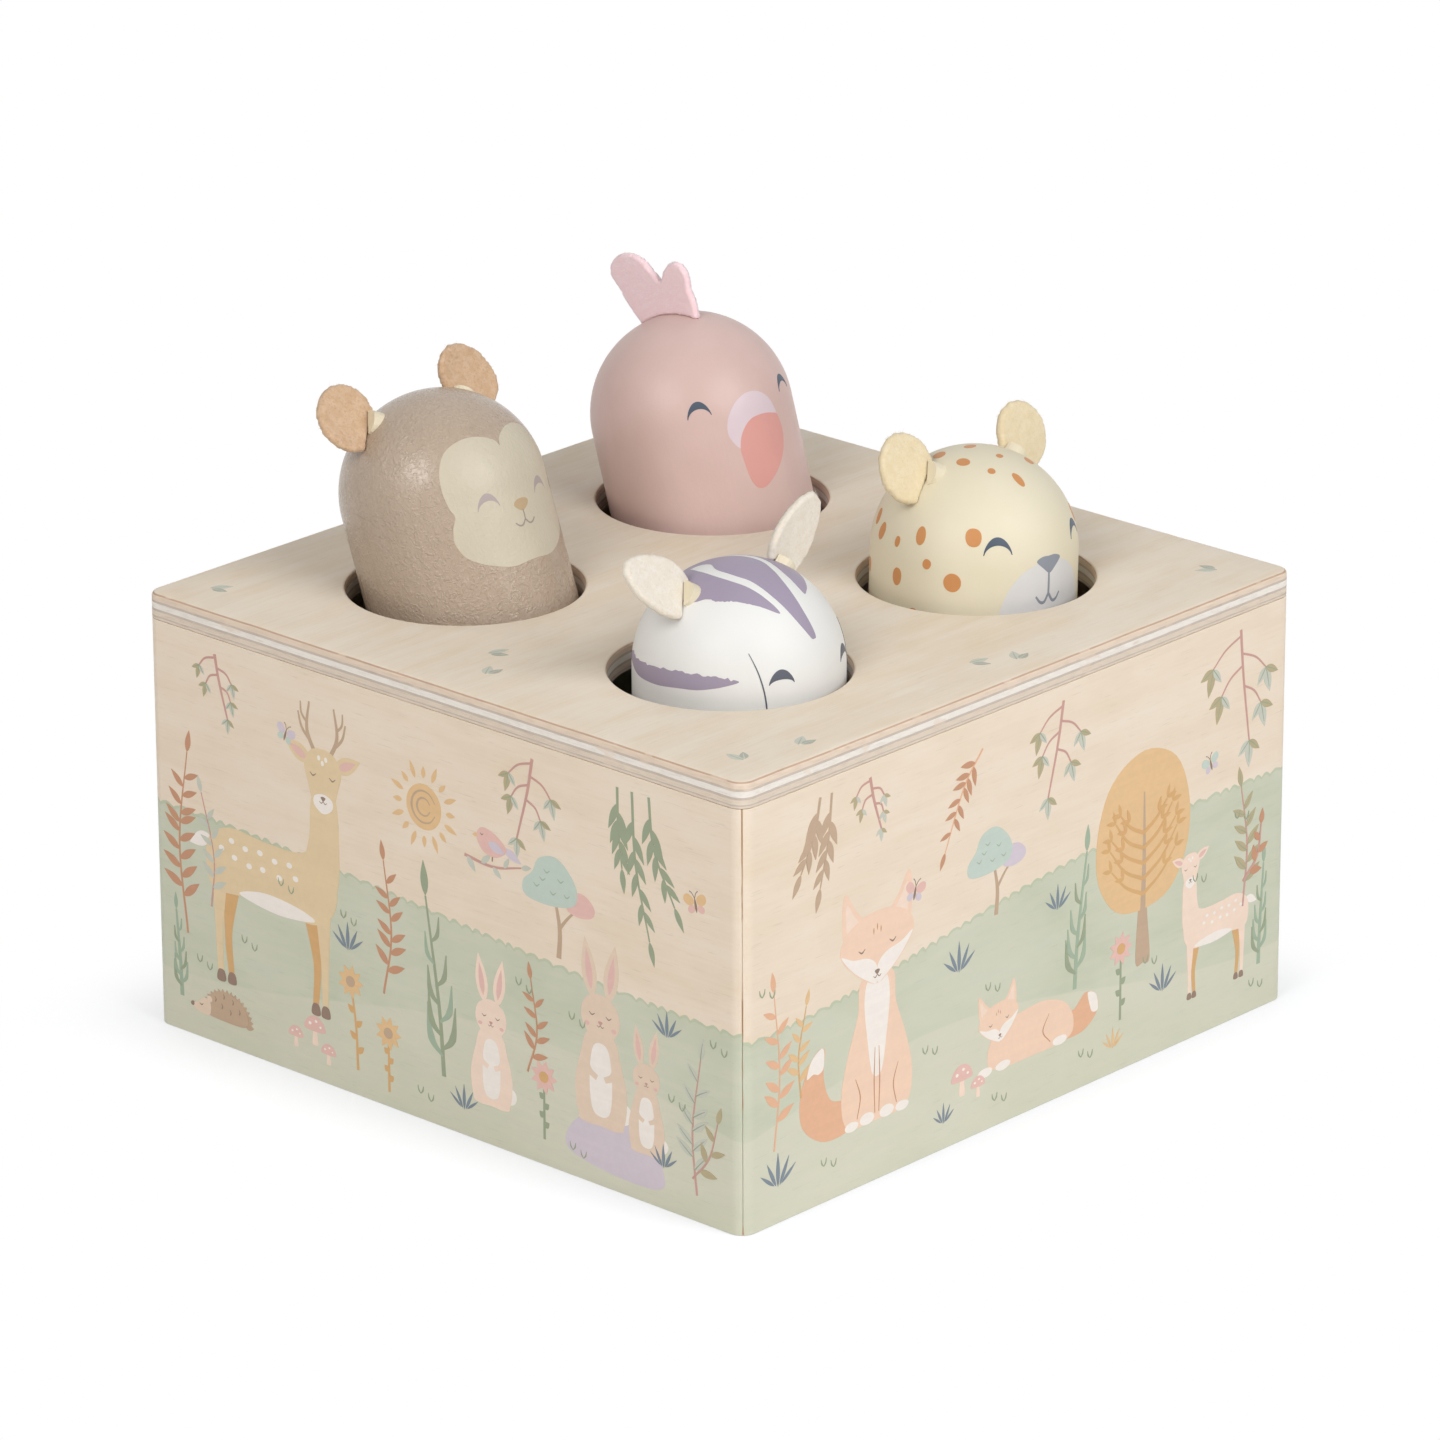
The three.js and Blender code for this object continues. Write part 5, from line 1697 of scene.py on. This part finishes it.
def front_print(pen):
    soft_tree(pen.at(-8, 43, 0.95), "pale teal", "soft lilac")
    autumn_tree(pen.at(33, 32))
    sitting_fox(pen.at(-40, 12, 1.05, -1))
    lying_fox(pen.at(2, 11, 0.95))
    standing_deer(pen.at(54, 8, 0.62, -1), "pale peach")
    sprig(pen.at(-67, 14), [(0, 0), (1.5, 14), (0, 30)], 10, 5.4, 1.8, ["soft orange", "sun ochre"],
          "soft orange", 0.4, 56)
    sprig(pen.at(-60, 22), [(0, 0), (-0.6, 8), (1.4, 17)], 8, 4.2, 1.4, ["sun ochre", "deep gold"],
          "deep gold", 0.4, 54)
    sprig(pen.at(-18, 60), [(6, 14), (1, 8), (-4, -3)], 11, 4.4, 1.4, WARM_LEAVES, "soft orange", 0.4, 50)
    hanging_twig(pen, 10, 22, -4)
    hanging_twig(pen, 60, 28, 3)
    hanging_twig(pen, -42, 13, 3, None)
    hanging_sprays(pen, ((-52, 17, -3), (-55, 13, -5)), 0.3, 7, 6, 1.9, "bark brown", 26)
    long_leaves(pen.at(14, 20), 26, 3, "sea green", "moss green")
    long_leaves(pen.at(67, 9), 20, 1, "sea green", "moss green")
    sprig(pen.at(62, 22), [(0, 0), (1, 12), (-1, 24)], 9, 5.6, 1.9, ["olive leaf", "sea green"],
          "rose twig", 0.5, 50, vein="moss green")
    sprig(pen.at(64, 31), [(-2, -4), (2, 0), (3, 6)], 4, 4, 1.8, ["rust leaf", "olive leaf"], "rose twig")
    tufts(pen, ((-66, 7, 6.5), (9, 37, 5), (-18, 33, 6), (39, 12, 5.5), (-22, 5, 4)))
    tufts(pen, ((25, 5, 4.2),), "sun ochre")
    grass(pen, ((-54, 7), (-27, 20), (-8, 5), (16, 6), (34, 19), (48, 31), (-10, 27), (65, 5), (-70, 44), (60, 40)))
    toadstools(pen, ((-17, 9, 0.9), (-12.6, 7.4, 0.6)))
    butterfly(pen.at(-30, 52, 0.9, turn=-14), "blush pink", "soft lilac")
    butterfly(pen.at(52, 53, 0.8, turn=16), "pale teal", "soft lilac")
    flower(pen.at(27, 10), 14, PINK_FLOWER)


def left_print(pen):
    soft_tree(pen.at(30, 43, 1.05), "pale teal", "blush pink")
    standing_deer(pen.at(-42, 13, 1.12), antlers=True)
    sun(pen.at(-3, 61, 1.05))
    sprig(pen.at(-65, 20), [(0, 0), (-1.6, 18), (1, 36)], 15, 6.0, 1.9, ["rust leaf"], "rust leaf", 0.5, 58)
    sprig(pen.at(-58.5, 27), [(0, 0), (1, 10), (-2, 22)], 9, 4.4, 1.5, ["leaf grey", "rust leaf"],
          "rose twig", 0.4, 54)
    sprig(pen.at(-14, 22), [(0, 0), (2.2, 12), (0.5, 26)], 11, 5.2, 1.7, WARM_LEAVES, "rust leaf", 0.5, 56)
    hanging_twig(pen, 24, 20, -4)
    hanging_twig(pen, -56, 15, 3)
    hanging_sprays(pen, ((48, 27, 4), (52, 19, 6), (44.5, 15, 1)), 0.2, 8, 6.2, 1.7, "moss green", 24)
    perched_bird(pen.at(13.5, 57.5, 0.95))
    sprig(pen.at(9, 53.6), [(-2, 1), (5, 0.4), (12, 2)], 4, 3.4, 1.4, COOL_LEAVES, "rose twig", start=0.1)
    stone = [(-11, -1), (-10.4, 4), (-5, 7.4), (3, 7.8), (9, 5.6), (12, 1), (11, -2.6), (0, -3)]
    pen.at(43, 6).blob(stone, "soft lilac")
    sitting_hare(pen.at(40, 12, 1.05))
    sitting_hare(pen.at(51, 9.6, 0.72))
    sitting_hare(pen.at(13, 8, 0.86), "pale peach")
    long_leaves(pen.at(1, 10), 34, -4, "moss green", "sea green")
    long_leaves(pen.at(-67, 7), 17, -1, "sea green", "moss green")
    flower(pen.at(-21, 5), 17, GOLD_FLOWER, -1.5)
    flower(pen.at(-13, 3), 11.5, GOLD_FLOWER)
    flower(pen.at(26, 5), 12, PINK_FLOWER)
    sprig(pen.at(63, 5), [(0, 0), (-1, 12), (1, 26)], 10, 5.6, 1.9, COOL_LEAVES, "rose twig", 0.5, 50,
          vein="moss green")
    sprig(pen.at(64, 11), [(-2, -3), (2, 2), (4, 9)], 4, 4.6, 1.6, ["olive leaf", "rust leaf"], "rose twig", 0.4, 52)
    sprig(pen.at(22, 25), [(0, -8), (2.4, 0), (1, 10)], 8, 4.4, 1.4, WARM_LEAVES, "rust leaf", 0.4, 56)
    hedgehog(pen.at(-55, 5, 0.85))
    toadstools(pen, ((-32, 7, 0.85), (-37, 5.4, 0.6), (-28.6, 4, 0.6)))
    tufts(pen, ((-23, 28, 5.5), (6, 5, 5), (56, 33, 5), (55, 8, 4.6)))
    grass(pen, ((-62, 15), (-40, 36), (-24, 34), (20, 33), (33, 30), (-5, 5), (57, 21), (-50, 22), (33, 5), (67, 34)))
    butterfly(pen.at(63, 60, 0.9, turn=12), "sun ochre", "blush pink")
    butterfly(pen.at(-38, 66, 0.8, turn=-18), "soft lilac", "pale teal")


def back_print(pen):
    soft_tree(pen.at(-34, 43, 1.1), "pale teal", "blush pink")
    soft_tree(pen.at(48, 44, 0.8, -1), "sea green", "soft lilac", "moss green")
    resting_deer(pen.at(10, 12))
    sitting_hare(pen.at(-48, 9, 0.95), "pale peach")
    sitting_hare(pen.at(-37, 7, 0.7))
    lying_fox(pen.at(53, 8, 0.8, -1))
    sprig(pen.at(-67, 12), [(0, 0), (-1.4, 14), (1, 28)], 12, 4.6, 1.9, ["rust leaf"], "rust leaf", spread=52)
    sprig(pen.at(67, 24), [(0, 0), (1.4, 10), (-1, 22)], 10, 4.2, 1.7, ["soft orange", "sun ochre"], "soft orange")
    long_leaves(pen.at(-14, 14), 26, -3, "moss green", "sea green")
    hanging_twig(pen, -8, 20, 4)
    hanging_twig(pen, 62, 15, -3, None)
    sun(pen.at(26, 62, 0.9))
    flower(pen.at(-24, 6), 14, PINK_FLOWER, -1)
    flower(pen.at(33, 5), 12, GOLD_FLOWER)
    tufts(pen, ((-58, 30, 5), (-2, 4, 5), (30, 28, 5), (67, 8, 4.6)))
    grass(pen, ((-68, 5), (-28, 24), (-10, 8), (24, 6), (40, 24), (58, 30), (-46, 36), (4, 34)))
    butterfly(pen.at(-52, 62, 0.9, turn=14), "blush pink", "soft lilac")


def right_print(pen):
    autumn_tree(pen.at(-38, 33, 0.95))
    soft_tree(pen.at(24, 43, 1.0, -1), "pale teal", "soft lilac")
    standing_deer(pen.at(2, 12, 0.85, -1))
    sitting_fox(pen.at(50, 11, 0.85))
    hedgehog(pen.at(27, 6, 0.95))
    sprig(pen.at(-66, 12), [(0, 0), (1.4, 14), (-1, 30)], 12, 4.6, 1.9, COOL_LEAVES[::-1], "rose twig")
    sprig(pen.at(-58, 26), [(0, 0), (-1, 8), (1, 18)], 9, 3.8, 1.6, ["rust leaf"], "rust leaf")
    long_leaves(pen.at(69, 12), 24, -3, "moss green", "sea green")
    hanging_twig(pen, 4, 16, 3)
    hanging_twig(pen, 46, 21, -4)
    perched_bird(pen.at(-14, 64))
    sprig(pen.at(-20, 60), [(-2, 1), (6, 0.6), (14, 3)], 5, 3.4, 1.4, COOL_LEAVES, "rose twig", start=0.1)
    toadstools(pen, ((-20, 9, 0.9), (-16.4, 7.6, 0.65)))
    flower(pen.at(-50, 5), 13, PINK_FLOWER)
    tufts(pen, ((-30, 5, 5), (38, 30, 4.6), (64, 5, 4.6)))
    grass(pen, ((-70, 34), (-44, 12), (-8, 5), (12, 8), (36, 18), (60, 34), (-22, 34), (8, 36)))
    butterfly(pen.at(66, 60, 0.9, turn=-12), "sun ochre", "blush pink")


def top_print(pen):
    """Small pairs of pale leaves near the corners of the top board."""
    for x, y, turn in ((-65, -3, 20), (-57, 4, -30), (-66, -66, 75), (-54, -68, 20), (-3, -63, -25), (4, -68, 40),
                       (65, -64, 130), (67, 4, 200), (61, -6, 110), (-4, 66, 20), (66, 66, 240), (-66, 66, -50)):
        spot = pen.at(x, y, turn=turn)
        spot.leaf(0, 0, 4.2, 2.0, 12, "leaf grey", "stone")
        spot.leaf(0.3, -0.5, 3.3, 1.6, -27, "stone", "leaf grey")


def make_prints(finishes):
    drawings = (front_print, right_print, back_print, left_print)
    prints = [(f"{side}_panel_print", side_lay(turn), drawings[turn]) for turn, side in enumerate(SIDES)]
    for name, lay, draw in (*prints, ("top_board_print", top_lay, top_print)):
        sheets = Sheets(lay)
        draw(Pen(sheets))
        settle(sheets.piece(name, finishes), "box")


def main():
    make_stage()
    finishes = make_finishes()
    top_board(finishes["birch board"])
    for turn, side in enumerate(SIDES):
        side_panel(f"{side}_panel", turn, finishes[f"printed {side}"])
    make_prints(finishes)
    make_animals(finishes)
    inner_pieces(finishes)


main()
